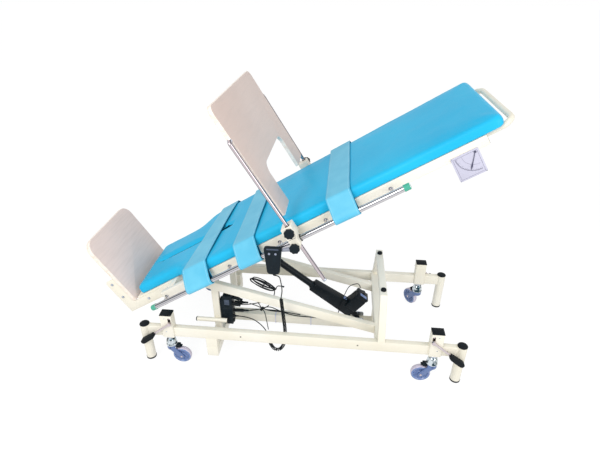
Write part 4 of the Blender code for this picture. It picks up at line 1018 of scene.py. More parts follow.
def makeFork(tag, place, v):
    body = "fork_" + tag
    low, top, r = v["hoodLow"], v["hoodTop"], v["hoodR"]
    bm = bmesh.new()
    spun(bm, [(0, top + 0.030), (0.0055, top + 0.030), (0.006, top + 0.0295), (0.006, top + 0.0006),
              (0.0105, top), (0.0155, top - 0.0030), (0.0200, top - 0.0078), (0.0235, top - 0.0140),
              (0.0258, top - 0.0210), (0.0272, top - 0.0290), (0.0279, top - 0.0370), (r, low + 0.0020),
              (r + 0.0008, low + 0.0008), (r + 0.0008, low - 0.0002), (r - 0.0016, low - 0.0002),
              (r - 0.0028, low + 0.012), (0.020, top - 0.014), (0, top - 0.010)], steps=56)
    settle(bm, "casterHood_" + tag, body, hoodChromePaintedReflections, place, "caster_fork_" + tag)
    bm = bmesh.new()
    lip = [(0.0246, low - 0.0004), (0.0268, low - 0.0004), (0.0286, low - 0.0010), (0.0290, low - 0.0024),
           (0.0282, low - 0.0036), (0.0246, low - 0.0036)]
    spun(bm, lip + [lip[0]], steps=56)
    settle(bm, "hoodLip_" + tag, body, capWhite, place)
    bm, wide, cheekLow = bmesh.new(), v["wide"], 0.106
    outline = ([(-0.019, low), (-0.019, cheekLow)] + arc(v["trail"], v["wheel"], 0.014, 225, 400, 15)
               + [(0.022, cheekLow), (0.019, low)])
    inner = [(0.000, 0.116), (0.004, 0.100), (0.040, 0.062), (0.050, 0.062), (0.018, 0.110),
             (0.014, 0.116)]
    for k in (-1, 1):
        slab(bm, sideOf(outline, k * (wide + 0.0015)), (0, k * 0.004, 0), 0.0012, 2)
        slab(bm, sideOf(inner, k * (wide + 0.0054)), (0, k * 0.0012, 0), 0.0006, 2)
    back = arc(0, 0, r - 0.0008, 100, 260, 24)
    slab(bm, topOf(back, 0.100), (0, 0, low - 0.1010), 0.0014, 2)
    settle(bm, "casterCheeks_" + tag, body, hubLavender, place)
    bm = bmesh.new()
    block(bm, (0.0225, -0.0115, 0.1040), (0.0455, 0.0115, 0.1245), 0.0028, 3)
    block(bm, (0.0400, -0.0090, 0.1085), (0.0545, 0.0090, 0.1150), 0.0022, 2)
    rod(bm, (0.034, -0.0165, 0.1120), (0.034, 0.0165, 0.1120), 0.0032, segments=20)
    settle(bm, "brakeBox_" + tag, body, blackPlastic, place)
    bm, gap = bmesh.new(), wide + 0.0015
    rod(bm, (v["trail"], -gap, v["wheel"]), (v["trail"], gap, v["wheel"]), 0.0049, segments=24)
    for k in (-1, 1):
        turnedOn(bm, [(0, 0.0040), (0.0034, 0.0040), (0.0056, 0.0026), (0.0062, 0.0010), (0.0062, 0),
                      (0, 0)], (v["trail"], k * (gap + 0.0040), v["wheel"]), (0, k, 0), 28)
    settle(bm, "casterAxle_" + tag, body, chrome, place)


def makePlunger(tag, end, side, v):
    bm = bmesh.new()
    spun(bm, [(0, 0.2704), (0.0080, 0.2704), (0.009, 0.2694), (0.009, 0.2512), (0.0178, 0.2510),
              (0.0190, 0.2498), (0.0190, 0.1790), (0.0196, 0.1782), (0.0196, 0.1738), (0.0184, 0.1726),
              (0.0068, 0.1726), (0.0068, 0.204), (0, 0.204)], steps=48)
    place = basePlace @ Matrix.Translation((end * v["x"], side * v["y"], 0))
    node = "plunger_" + tag
    settle(bm, node + "_bright", "lift_" + tag, zinc, place, node)


# lift pedals: pin, arm and rubber wedge

pedalLook = {"x": 0.664, "z": 0.287, "down": 38.0, "shaftIn": 0.2965, "shaftOut": 0.3340, "armY": 0.329,
             "armLong": 0.120, "camX": 0.0148, "padIn": 0.3232, "padOut": 0.3500, "ribs": 8}


def makePedal(tag, end, side, v):
    turn = Matrix.Rotation(0 if end > 0 else pi, 4, "Z") @ Matrix.Rotation(radians(v["down"]), 4, "Y")
    place = basePlace @ Matrix.Translation((end * v["x"], 0, v["z"])) @ turn
    k = side * end
    bm = bmesh.new()
    rod(bm, (0, k * v["shaftIn"], 0), (0, k * v["shaftOut"], 0), 0.006, segments=28)
    turnedOn(bm, [(0, 0.0130), (0.0062, 0.0130), (0.0096, 0.0118), (0.0104, 0.0100), (0.0104, 0.0004),
                  (0.0096, 0), (0, 0)], (0, k * 0.3228, 0), (0, k, 0), 36)
    rod(bm, (-0.002, k * v["armY"], 0), (v["armLong"], k * v["armY"], 0), 0.0055, segments=28)
    low, high = span(0.301, 0.311, k)
    block(bm, (0, low, -0.005), (v["camX"], high, 0.005), 0.001, 2)
    rod(bm, (v["camX"], low - 0.001, 0), (v["camX"], high + 0.001, 0), 0.007, segments=24)
    node = "pedal_" + tag
    settle(bm, "pedalArm_" + tag, node, chrome, place, node)
    bm = bmesh.new()
    ys = span(v["padIn"], v["padOut"], k)
    outline = ([(0.110, -0.0075), (0.128, -0.0130), (0.190, -0.0135)] + arc(0.1905, 0, 0.0133, -80, 80, 9)
               + [(0.190, 0.0135), (0.120, 0.0100), (0.110, 0.0075)])
    slab(bm, sideOf(outline, ys[0]), (0, ys[1] - ys[0], 0), 0.0028, 3)
    for i in range(v["ribs"]):
        x, z = 0.134 + i * 0.0072, -0.0130 - 0.00006 * i
        rod(bm, (x, ys[0] + 0.003, z), (x, ys[1] - 0.003, z), 0.0013, segments=10)
    settle(bm, "pedalPad_" + tag, node, blackRubber, place)


for where, side in sides.items():
    for endName, end in ends.items():
        tag = where + "_" + endName
        turn = Matrix.Rotation(radians(caster["trails"][tag]), 4, "Z")
        corner = basePlace @ Matrix.Translation((end * caster["x"], side * caster["y"], 0)) @ turn
        makeWheel(tag, corner, caster)
        makeFork(tag, corner, caster)
        makePlunger(tag, end, side, caster)
        makePedal(tag, end, side, pedalLook)
print("casters and pedals made")


# pad: blown up a little by a cloth run, then the seam between its legs

padLook = {"s0": -0.345, "s1": 1.568, "legHalf": 0.214, "half": 0.305, "low": 0.1076, "top": 0.1560,
           "inset": 0.0035, "round": 0.0225, "roundLow": 0.007, "voxel": 0.0085, "force": 3.2,
           "cap": 0.0032, "frames": 20, "topMost": 0.1605, "strapTop": 0.1566, "roll": 0.026,
           "seamStart": -0.262, "seamEnd": 0.245, "seamHalf": 0.0075, "seamWide": 0.050,
           # the seam's mouth: where it opens, where it is widest, and its half width there
           "seamDeep": 0.020, "mouth": (0.150, 0.205, 0.018),
           "shoulder": ((-0.075, 0), (-0.045, 0.010), (-0.010, 0.044), (0.020, 0.076)), "wideFrom": 0.055,
           "straps": ((0.118, 0.085), (0.390, 0.068), (0.8775, 0.066))}


def padOutline(v):
    i = v["inset"]
    s0, s1, leg, half = v["s0"] + i, v["s1"] - i, v["legHalf"] - i, v["half"] - i
    upper = ([(s0, leg - 0.028)] + arc(s0 + 0.024, leg - 0.024, 0.024, 170, 90, 6)
             + [(s, leg + more) for s, more in v["shoulder"]] + [(v["wideFrom"], half)]
             + arc(s1 - 0.035, half - 0.035, 0.035, 90, 0, 8))
    return upper + [(s, -y) for s, y in reversed(upper)]


def remeshed(bm, size):
    mesh = bpy.data.meshes.new("voxels")
    bmesh.ops.recalc_face_normals(bm, faces=bm.faces)
    bm.to_mesh(mesh)
    bm.free()
    thing = linked("voxels", mesh)
    change = thing.modifiers.new("voxels", "REMESH")
    change.mode = "VOXEL"
    change.voxel_size = size
    bpy.context.view_layer.update()
    fresh = bpy.data.meshes.new_from_object(worked(thing))
    thing.modifiers.clear()
    thing.data = fresh
    return thing


def blownUp(thing, v):
    rest = [p.co.copy() for p in thing.data.vertices]
    held = thing.vertex_groups.new(name="held")
    held.add([i for i, p in enumerate(rest) if p.z < v["low"] + 0.006], 1.0, "REPLACE")
    cloth = thing.modifiers.new("cloth", "CLOTH")
    cloth.settings.quality = 5
    cloth.settings.vertex_group_mass = "held"
    cloth.settings.use_pressure = True
    cloth.settings.uniform_pressure_force = v["force"]
    cloth.settings.effector_weights.gravity = 0
    cloth.point_cache.frame_end = v["frames"]
    for frameNow in range(1, v["frames"] + 1):
        worldScene.frame_set(frameNow)
    blown = [p.co.copy() for p in worked(thing).data.vertices]
    thing.modifiers.clear()
    worldScene.frame_set(1)
    for point, start, end in zip(thing.data.vertices, rest, blown):
        move = end - start
        if move.length > v["cap"]:
            move *= v["cap"] / move.length
        point.co = start + move


def padTop(s, v):
    # the pad rises between the straps and is held down under them
    free = min(max((abs(s - mid) - half) / 0.10, 0) for mid, half in v["straps"])
    return v["strapTop"] + (v["topMost"] - v["strapTop"]) * min(free, 1)


def padHalf(s, v):
    # half the pad's width, which narrows to its legs
    leg, wide = v["legHalf"] - v["inset"], v["half"] + 0.0015
    knots = ([(-9, leg)] + [(a, leg + more) for a, more in v["shoulder"]]
             + [(v["wideFrom"], wide), (9, wide)])
    for (a, low), (b, high) in zip(knots, knots[1:]):
        if s <= b:
            return low + (high - low) * (s - a) / (b - a)


def rolled(across, n, half, top, radius):
    # a point brought inside the rounded upper edge of the pad
    side = 1 if across > 0 else -1
    out, up = min(abs(across), half) - (half - radius), n - (top - radius)
    far = sqrt(out * out + up * up)
    if out > 0 and up > 0 and far > radius:
        out, up = out * radius / far, up * radius / far
    return side * (half - radius + out), top - radius + up


def makePad(v):
    bm = bmesh.new()
    slab(bm, topOf(padOutline(v), v["low"]), (0, 0, v["top"] - v["low"]))
    for high, width, segments in ((v["top"], v["round"], 5), (v["low"], v["roundLow"], 2)):
        rim = [e for e in bm.edges if all(abs(p.co.z - high) < 0.0001 for p in e.verts)]
        ease(bm, rim, width, segments)
    thing = remeshed(bm, v["voxel"])
    blownUp(thing, v)
    bm = bmesh.new()
    bm.from_mesh(thing.data)
    bpy.data.objects.remove(thing, do_unlink=True)
    for _ in range(3):
        bmesh.ops.smooth_vert(bm, verts=bm.verts, factor=0.5, use_axis_x=True, use_axis_y=True,
                              use_axis_z=True)
    bmesh.ops.subdivide_edges(bm, edges=bm.edges, cuts=1, use_grid_fill=True, smooth=0.6)
    middle = (v["s0"] + v["s1"]) / 2
    for vert in bm.verts:
        s, y, n = vert.co
        lift = max((n - v["low"]) / (v["top"] - v["low"]), 0)
        wave = noise.noise(Vector((s * 7, y * 11, 0.4))) * 0.0010
        n += (wave + noise.noise(Vector((s * 26, y * 19, 2))) * 0.0004) * lift
        if v["seamStart"] - 0.03 < s < v["seamEnd"] + 0.02 and abs(y) < v["seamWide"]:
            fade = min((v["seamEnd"] + 0.02 - s) / 0.05, (s - v["seamStart"] + 0.03) / 0.06, 1)
            n -= v["seamDeep"] * (1 - abs(y) / v["seamWide"]) ** 2 * fade * lift
        top = padTop(s, v)
        n = max(min(n, top), v["low"] - 0.0002)
        y, n = rolled(y, n, padHalf(s, v), top, v["roll"])
        s, n = rolled(s - middle, n, (v["s1"] - v["s0"]) / 2 - v["inset"] + 0.001, top, v["roll"])
        vert.co = (s + middle, y, n)
    tool = bmesh.new()
    half = v["seamHalf"]
    start, widest, wide = v["mouth"]
    first = v["seamStart"]
    outline = [(first, 0.0005), (first + 0.05, half), (start, half), (widest, wide),
               (v["seamEnd"], 0.0010)]
    outline += [(s, -y) for s, y in reversed(outline)]
    slab(tool, topOf(outline, 0.09), (0, 0, 0.08))
    bm = carved(bm, tool)
    # the seam's upright walls take the dark blue, painted shade inside the slot
    for face in bm.faces:
        s, y, n = face.calc_center_median()
        inside = first - 0.001 < s < v["seamEnd"] + 0.001 and abs(y) < wide + 0.001
        if inside and abs(face.normal.z) < 0.02:
            face.material_index = 1
    pad = settle(bm, "paddedTop", "bed", [blueVinyl, seamPaintedShade], bedPlace, "pad", 50)


makePad(padLook)
print("pad made")


# straps: bands over the pad that loop round both side rails

strapRun = {"railY": 0.350, "railN": 0.077, "loop": 0.0163, "roundY": 0.289, "roundN": 0.141,
            "lift": 0.0192, "thick": 0.0040, "columns": 14,
            # middle and half width at the near rail, the same at the far one, and the upper edge's lift
            "bands": {"strap_knee": (0.093, 0.0730, 0.150, 0.0550, 0.0046),
                      "strap_hip": (0.390, 0.060, 0.390, 0.060, 0.0046),
                      "strap_chest": (0.8775, 0.0575, 0.8775, 0.0575, 0.0)}}


def strapPath(v):
    top = v["roundN"] + v["lift"]
    half = ([(0.0, top), (0.075, top), (0.150, top), (0.220, top)]
            + arc(v["roundY"], v["roundN"], v["lift"], 90, 30, 5)
            + [(0.326, 0.130), (0.341, 0.113), (0.3555, 0.0975)]
            + arc(v["railY"], v["railN"], v["loop"], 40, -170, 11)
            + [(0.3325, 0.090), (0.3270, 0.104), (0.3190, 0.119)])
    return smoothLine(endOf(half[:0:-1] + [(-y, n) for y, n in half], 0), 170)


def makeStrap(name, band, v, look):
    sNear, wNear, sFar, wFar, lifted = band
    path = strapPath(v)
    bm = bmesh.new()
    layer = bm.loops.layers.uv.new("metres")
    rows, along, done, columns = [], [], 0.0, v["columns"]
    for i, point in enumerate(path):
        if i:
            done += (point - path[i - 1]).length
        t = min(max((point.y + v["railY"]) / (2 * v["railY"]), 0), 1)
        middle, wide = sNear + (sFar - sNear) * t, wNear + (wFar - wNear) * t
        row = []
        for j in range(columns + 1):
            part = 2 * j / columns - 1
            flat = 1 - min(abs(point.y) / 0.28, 1) ** 4
            sway = noise.noise(Vector((done * 9, part * 0.8, middle * 5))) * 0.0016
            curl = 0.0006 * part ** 6 + lifted * max(part, 0) ** 2
            row.append(bm.verts.new((middle + part * wide + sway, point.y, point.z + curl * flat)))
        rows.append(row)
        along.append(done)
    for i, (a, b) in enumerate(zip(rows, rows[1:])):
        for j in range(columns):
            face = bm.faces.new((a[j], a[j + 1], b[j + 1], b[j]))
            for loop, (p, q) in zip(face.loops, ((j, i), (j + 1, i), (j + 1, i + 1), (j, i + 1))):
                loop[layer].uv = (look["half"] * 2 * p / columns, along[q])
    strap = settle(bm, name + "_band", "bed", [strapVinyl, strapInnerShade], bedPlace, name, 60)
    crest = max(strap.data.polygons, key=lambda face: face.center.z)
    if crest.normal.z < 0:
        strap.data.flip_normals()
    shell = strap.modifiers.new("thickness", "SOLIDIFY")
    shell.thickness = v["thick"]
    shell.offset = 0
    # the back side of the shell, facing the pad, takes the second slot: painted shade
    shell.material_offset = 1
    soften = strap.modifiers.new("edges", "BEVEL")
    soften.width = 0.0009
    soften.segments = 2


for name, band in strapRun["bands"].items():
    makeStrap(name, band, strapRun, strapLook)
print("straps made")


# boards: tray and footboard, faced in laminate with a pale edge band

boards = {"trayS": 0.643, "trayThick": 0.018, "trayHalf": 0.363, "n0": 0.200, "n1": 0.730,
          "cutHalf": 0.210, "cutN": 0.395, "cutRound": 0.05, "lowRound": 0.025, "topRound": 0.035,
          "footS": -0.375, "footThick": 0.020, "footHalf": 0.2235, "foot0": 0.100, "foot1": 0.487,
          "footRound": 0.062, "footLowRound": 0.006, "easing": 0.0024, "armY": 0.2103}


def footOutline(v, shrink=0):
    half, low, high = v["footHalf"] - shrink, v["foot0"] + shrink, v["foot1"] - shrink
    radius, foot = v["footRound"] - shrink, v["footLowRound"]
    right = (arc(half - foot, low + foot, foot, 270, 360, 5)
             + arc(half - radius, high - radius, radius, 0, 90, 13))
    return right + [(-y, n) for y, n in reversed(right)]


def boardPiece(name, node, outline, sBack, thick, look, easing):
    bm = bmesh.new()
    slab(bm, endOf(outline, sBack), (thick, 0, 0), easing, 3)
    bmesh.ops.recalc_face_normals(bm, faces=bm.faces)
    for face in bm.faces:
        face.material_index = 0 if abs(face.normal.x) > 0.97 else 1
    settle(bm, name, bodyOf(node), [look, banding], bedPlace, node)


def makeBoards(v):
    cutHalf, half, n0, n1, thick = v["cutHalf"], v["trayHalf"], v["n0"], v["n1"], v["footThick"]
    cut, low, top, cutTop = v["cutRound"], v["lowRound"], v["topRound"], v["cutN"] - v["cutRound"]
    outline = ([(-cutHalf, n0), (-cutHalf, cutTop)] + arc(-cutHalf + cut, cutTop, cut, 180, 90, 11)[1:]
               + arc(cutHalf - cut, cutTop, cut, 90, 0, 11) + [(cutHalf, n0)]
               + arc(half - low, n0 + low, low, -90, 0, 9) + arc(half - top, n1 - top, top, 0, 90, 11)
               + arc(-half + top, n1 - top, top, 90, 180, 11)
               + arc(-half + low, n0 + low, low, 180, 270, 9))
    boardPiece("trayTop", "tray_board", outline, v["trayS"] - v["trayThick"] / 2, v["trayThick"],
               trayFace, v["easing"])
    boardPiece("footRest", "footboard", footOutline(v), v["footS"] - thick, thick, footFace, v["easing"])
    back = v["footS"] - thick - 0.0003
    bm, bolts = bmesh.new(), bmesh.new()
    slab(bm, endOf(footOutline(v, 0.003), back - 0.006), (0.006, 0, 0), 0.0014, 2)
    arm = ([(-0.460, 0.047), (-0.460, 0.250), (-0.450, 0.262), (back - 0.002, 0.262), (back - 0.002, 0.097)]
           + arc(-0.162, 0.072, 0.025, 90, -90, 13))
    for k in (-1, 1):
        slab(bm, sideOf(arm, k * v["armY"]), (0, k * 0.006, 0), 0.0016, 2)
        bead(bm, (back - 0.0065, k * 0.2165, 0.107), (back - 0.0065, k * 0.2165, 0.258), 0.0020)
        for s, n in ((-0.4315, 0.2352), (-0.4345, 0.1472), (-0.3105, 0.0750), (-0.1685, 0.0795)):
            hexBolt(bolts, (s, k * 0.2163, n), (0, k, 0), 0.0095, 0.0042, 0.0075)
    settle(bm, "footCarrier", "bed", cream, bedPlace, "footboard_carrier")
    for y in (-0.150, 0.150):
        for n in (0.150, 0.300, 0.440):
            screwHead(bolts, (back - 0.006, y, n), (-1, 0, 0), 0.0055)
    settle(bolts, "carrierBolts", "bed", zinc, bedPlace)


makeBoards(boards)
print("boards made")


# chrome side rails, push handle, tray rods, clamps and knobs

rails = {"y": 0.350, "n": 0.077, "r": 0.0125, "s0": -0.212, "s1": 1.159, "capR": 0.0145,
         "capLong": 0.027, "pegs": (-0.140, 0.255, 0.538, 0.775, 1.080), "pegR": 0.006, "frameY": 0.3003}
handle = {"n": 0.092, "y": 0.255, "bend": 0.055, "s": 1.5985, "start": 1.4853, "r": 0.0125}


def makeRail(where, side, v):
    bm, caps, rings = (bmesh.new() for _ in range(3))
    y, n, r, long = side * v["y"], v["n"], v["capR"], v["capLong"]
    rod(bm, (v["s0"] + 0.018, y, n), (v["s1"] - 0.018, y, n), v["r"], segments=56)
    for s in v["pegs"]:
        foot = (s, side * v["frameY"], n)
        rod(bm, foot, (s, side * (v["y"] - 0.006), n), v["pegR"], segments=28)
        turnedOn(bm, [(0, 0.0030), (0.0085, 0.0030), (0.0100, 0.0020), (0.0102, 0), (0, 0)], foot,
                 (0, side, 0), 32)
        turnedOn(bm, [(0.0050, -0.0030), (0.0078, 0.0012), (0.0078, 0.0040), (0, 0.0040)],
                 (s, side * (v["y"] - 0.0145), n), (0, side, 0), 32)
    settle(bm, "chromeRail_" + where, "bed", railChromePaintedReflections, bedPlace, "side_rail_" + where)
    for s, out in ((v["s0"], 1), (v["s1"], -1)):
        turnedOn(caps, [(0, 0.0012), (0.0088, 0.0012), (0.0096, 0.0002), (0.0118, 0.0), (0.0136, 0.0014),
                        (r, 0.0042), (r, long - 0.0045), (r + 0.0006, long - 0.0030), (r + 0.0004, long),
                        (0, long)], (s, y, n), (out, 0, 0), 48)
        turnedOn(rings, [(0.0100, -0.0006), (0.0128, -0.0006), (0.0136, 0.0008), (0.0100, 0.0010),
                         (0.0100, -0.0006)], (s, y, n), (out, 0, 0), 48)
        turnedOn(rings, [(0.0128, -0.0012), (0.0138, -0.0012), (0.0138, 0.0006), (0.0128, 0.0006),
                         (0.0128, -0.0012)], (s + out * long, y, n), (out, 0, 0), 48)
    settle(caps, "railCaps_" + where, "bed", capGreen, bedPlace)
    settle(rings, "capRings_" + where, "bed", capWhite, bedPlace)


def makeHandle(v):
    n, y, bend, s, start = v["n"], v["y"], v["bend"], v["s"], v["start"]
    near = [(s - bend + bend * sin(radians(a)), -(y - bend) - bend * cos(radians(a)), n)
            for a in range(0, 91, 6)]
    far = [(p, -q, n) for p, q, _ in reversed(near)]
    line = [bedPlace @ Vector(p) for p in [(start, -y, n)] + near + far + [(start, y, n)]]
    hose("pushHandle", line, v["r"], cream, 10, body="bed", node="push_handle")
    bm = bmesh.new()
    for k in (-1, 1):
        turnedOn(bm, [(0.0118, 0.0010), (0.0142, 0.0010), (0.0150, 0.0), (0.0142, -0.0006),
                      (0.0118, -0.0006), (0.0118, 0.0010)], (start + 0.0006, k * y, n), (1, 0, 0), 40)
    settle(bm, "handleWelds", "bed", cream, bedPlace)


trayFit = {"s": 0.643, "rodY": 0.376, "rodR": 0.0086, "rodLow": -0.151, "turnN": 0.570, "turnR": 0.0112,
           "tipY": 0.3634, "tipN": 0.5812, "clampIn": 0.3325, "clampOut": 0.3935, "clamp0": 0.611,
           "clampTop": 0.165, "knobR": 0.023, "lobes": 8, "lobeDeep": 0.0024,
           "knobs": {"rod": (0.643, 0.142, 0.3838), "rail": (0.625, 0.070, 0.3632)}}


def makeKnob(level, where, side, v):
    s, n, depth = v["knobs"][level]
    name = "knob_" + level + "_" + where
    turn = Matrix.Rotation(pi / 2 * side, 4, "X")
    place = bedPlace @ Matrix.Translation((s, side * v["clampOut"], n)) @ turn
    bm, lobes = bmesh.new(), []
    for i in range(96):
        a = 2 * pi * i / 96
        r = v["knobR"] - v["lobeDeep"] * (0.5 - 0.5 * cos(v["lobes"] * a))
        lobes.append((r * cos(a), r * sin(a)))
    slab(bm, topOf(lobes, -0.0085), (0, 0, -0.0150), 0.0024, 3)
    spun(bm, [(0, -0.0240), (0.0112, -0.0240), (0.0120, -0.0232), (0.0120, -0.0225), (0, -0.0225)])
    spun(bm, [(0, -0.0006), (0.0085, -0.0006), (0.0100, -0.0030), (0.0110, -0.0090), (0, -0.0090)])
    settle(bm, name + "_grip", bodyOf(name), blackPlastic, place, name)
    bm = bmesh.new()
    rod(bm, (0, 0, -0.008), (0, 0, v["clampOut"] - depth), 0.003, segments=20)
    spun(bm, [(0, -0.0246), (0.0048, -0.0246), (0.0056, -0.0240), (0, -0.0236)], steps=24)
    settle(bm, name + "_stud", bodyOf(name), blackPlastic, place)


def makeClamp(where, side, v, rail):
    ys = span(v["clampIn"], v["clampOut"], side)
    body, s0, top = "tray_carriage", v["clamp0"], v["clampTop"]
    railY, railN, rodY = side * rail["y"], rail["n"], side * v["rodY"]
    bm, split, bush = (bmesh.new() for _ in range(3))
    outline = [(s0, 0.045), (0.634, 0.045), (0.6540, 0.066), (0.6540, 0.103), (0.662, 0.114), (0.662, top),
               (s0, top)]
    slab(bm, sideOf(outline, ys[0]), (0, ys[1] - ys[0], 0), 0.0036, 3)
    holes = [((0.59, railY, railN), (0.69, railY, railN), 0.0129, 40),
             ((v["s"], rodY, 0.03), (v["s"], rodY, 0.20), v["rodR"] + 0.0004, 32)]
    holes += [((s, side * (v["clampOut"] + 0.02), n), (s, side * (depth - 0.0003), n), 0.0034, 20)
              for s, n, depth in v["knobs"].values()]
    for start, end, radius, segments in holes:
        tool = bmesh.new()
        rod(tool, start, end, radius, segments=segments)
        bm = carved(bm, tool)
    settle(bm, "clampBlock_" + where, body, cream, bedPlace, "clamp_" + where)
    # a thin dark sheet along the clamp's split: painted shadow
    low, high = span(v["clampOut"] - 0.0006, v["clampOut"] + 0.0003, side)
    block(split, (0.6135, low, 0.1060), (0.6520, high, 0.1072))
    settle(split, "clampSplit_" + where, body, paintedSplitShadow, bedPlace)
    for s, out in ((s0, -1), (0.6538, 1)):
        turnedOn(bush, [(0.0130, 0), (0.0130, 0.0016), (0.0160, 0.0016), (0.0168, 0), (0.0130, 0)],
                 (s, railY, railN), (out, 0, 0), 40)
    turnedOn(bush, [(0.0091, 0), (0.0091, 0.0020), (0.0108, 0.0020), (0.0114, 0), (0.0091, 0)],
             (v["s"], rodY, top - 0.0005), (0, 0, 1), 36)
    settle(bush, "clampBush_" + where, body, blackPlastic, bedPlace)
    for level in v["knobs"]:
        makeKnob(level, where, side, v)


def makeTrayRod(where, side, v):
    s, rodY, tipY, tipN = v["s"], v["rodY"], v["tipY"], v["tipN"]
    turn = arc(rodY - v["turnR"], v["turnN"], v["turnR"], 0, 90, 12)
    path = [(rodY, v["rodLow"]), (rodY, 0.1), (rodY, 0.3)] + turn + [(tipY - 0.0001, tipN)]
    points = [bedPlace @ Vector((s, side * y, n)) for y, n in path]
    hose("trayRod_" + where, points, v["rodR"], rodChromePaintedReflections, 8, body="tray",
         node="tray_rod_" + where)
    bm = bmesh.new()
    turnedOn(bm, [(0, -0.0010), (0.0076, -0.0010), (0.0089, 0.0004), (0.0091, 0.010), (0.0087, 0.0106),
                  (0, 0.0106)], (s, side * rodY, v["rodLow"]), (0, 0, 1), 32)
    turnedOn(bm, [(0, 0), (0.0106, 0), (0.0106, 0.0008), (0.0094, 0.0016), (0.0074, 0.0018),
                  (0, 0.0018)], (s, side * tipY, tipN), (0, side, 0), 32)
    settle(bm, "rodFerrule_" + where, "tray", zinc, bedPlace)


for where, side in sides.items():
    makeRail(where, side, rails)
    makeTrayRod(where, side, trayFit)
    makeClamp(where, side, trayFit, rails)
makeHandle(handle)
print("rails, clamps and handle made")


# actuator: ribbed housing, motor box, tube, rod and bracket

def makeActuator(v):
    long, angle = liftLine(v)
    place = basePlace @ Matrix.Translation((v["x"], 0, v["z"])) @ Matrix.Rotation(-angle, 4, "Y")
    bm = bmesh.new()
    outline = [(v["house0"], 0.026), (v["house1"], 0.026), (v["house1"], -0.032), (0.1185, -0.054),
               (0.1185, -0.026), (v["house0"], -0.026)]
    slab(bm, sideOf(outline, -0.024), (0, 0.048, 0), 0.0045, 3)
    block(bm, (0.0, -0.012, -0.0095), (0.056, 0.012, 0.0095), 0.003, 2)
    spun(bm, [(0, 0.012), (0.0105, 0.012), (0.0115, 0.011), (0.0115, -0.011), (0.0105, -0.012),
              (0, -0.012)], Matrix.Rotation(pi / 2, 4, "X"))
    turnedOn(bm, [(0, 0), (0.0215, 0), (0.0225, 0.002), (0.0225, 0.012), (0.0195, 0.016),
                  (v["tubeR"], 0.018), (v["tubeR"], 0.222), (0.0196, 0.224), (0.0198, 0.246),
                  (0.0188, 0.248), (0.0170, 0.2488), (0, 0.2488)], (v["house1"] - 0.007, 0, 0), (1, 0, 0), 48)
    for start, end, radius, segments in (((0.170, 0, 0), (0.60, 0, 0), v["boreR"], 40),
                                         ((0, -0.03, 0), (0, 0.03, 0), 0.0053, 28)):
        tool = bmesh.new()
        rod(tool, start, end, radius, segments=segments)
        bm = carved(bm, tool, True)
    for k in (-1, 1):
        for i in range(5):
            x = 0.150 + i * 0.0135
            block(bm, *atSide((x, 0.0235, -0.030), (x + 0.0045, 0.0252, 0.018), k), 0.0007, 2)
        block(bm, *atSide((0.232, 0.0235, -0.020), (0.318, 0.0246, 0.016), k), 0.0008, 2)
        for x, z in ((0.060, 0.018), (0.060, -0.018), (0.325, 0.018), (0.325, -0.024), (0.130, -0.044)):
            screwHead(bm, (x, k * 0.024, z), (0, k, 0), 0.0040)
    settle(bm, "actuatorHousing", "actuator", actuatorBlack, place, "actuator_body")
    makeMotor(place, v["motorTop"])
    bm = bmesh.new()
    rod(bm, (0.310, 0, 0), (long - 0.010, 0, 0), v["rodR"], segments=48)
    turnedOn(bm, [(0.0108, 0), (0.0124, 0.0015), (0.0124, 0.010), (0.0108, 0.0115)],
             (long - 0.024, 0, 0), (1, 0, 0))
    spun(bm, [(0, 0.011), (0.0128, 0.011), (0.014, 0.0098), (0.014, -0.0098), (0.0128, -0.011),
              (0, -0.011)], Matrix.Translation((long, 0, 0)) @ Matrix.Rotation(pi / 2, 4, "X"), 44)
    rod(bm, (long, -0.0130, 0), (long, 0.0130, 0), 0.0049, segments=28)
    settle(bm, "actuatorRam", "actuator_ram", chrome, place, "actuator_rod")
    bm = bmesh.new()
    cheek = roundedRect(v["x"] - 0.022, v["x"] + 0.036, 0.094, 0.150, 0.010, 8)
    for k in (-1, 1):
        slab(bm, sideOf(cheek, k * 0.0253), (0, k * 0.005, 0), 0.0010, 2)
        hexBolt(bm, (v["x"], k * 0.0303, v["z"]), (0, k, 0), 0.012, 0.0040, 0.0078)
        for x in (0.022, -0.012):
            hexBolt(bm, (v["x"] + x, k * 0.0303, 0.106), (0, k, 0), 0.009, 0.0034, 0.0065)
    rod(bm, (v["x"], -0.032, v["z"]), (v["x"], 0.032, v["z"]), 0.005, segments=28)
    settle(bm, "actuatorBracket", "base", zinc, basePlace, "actuator_bracket")


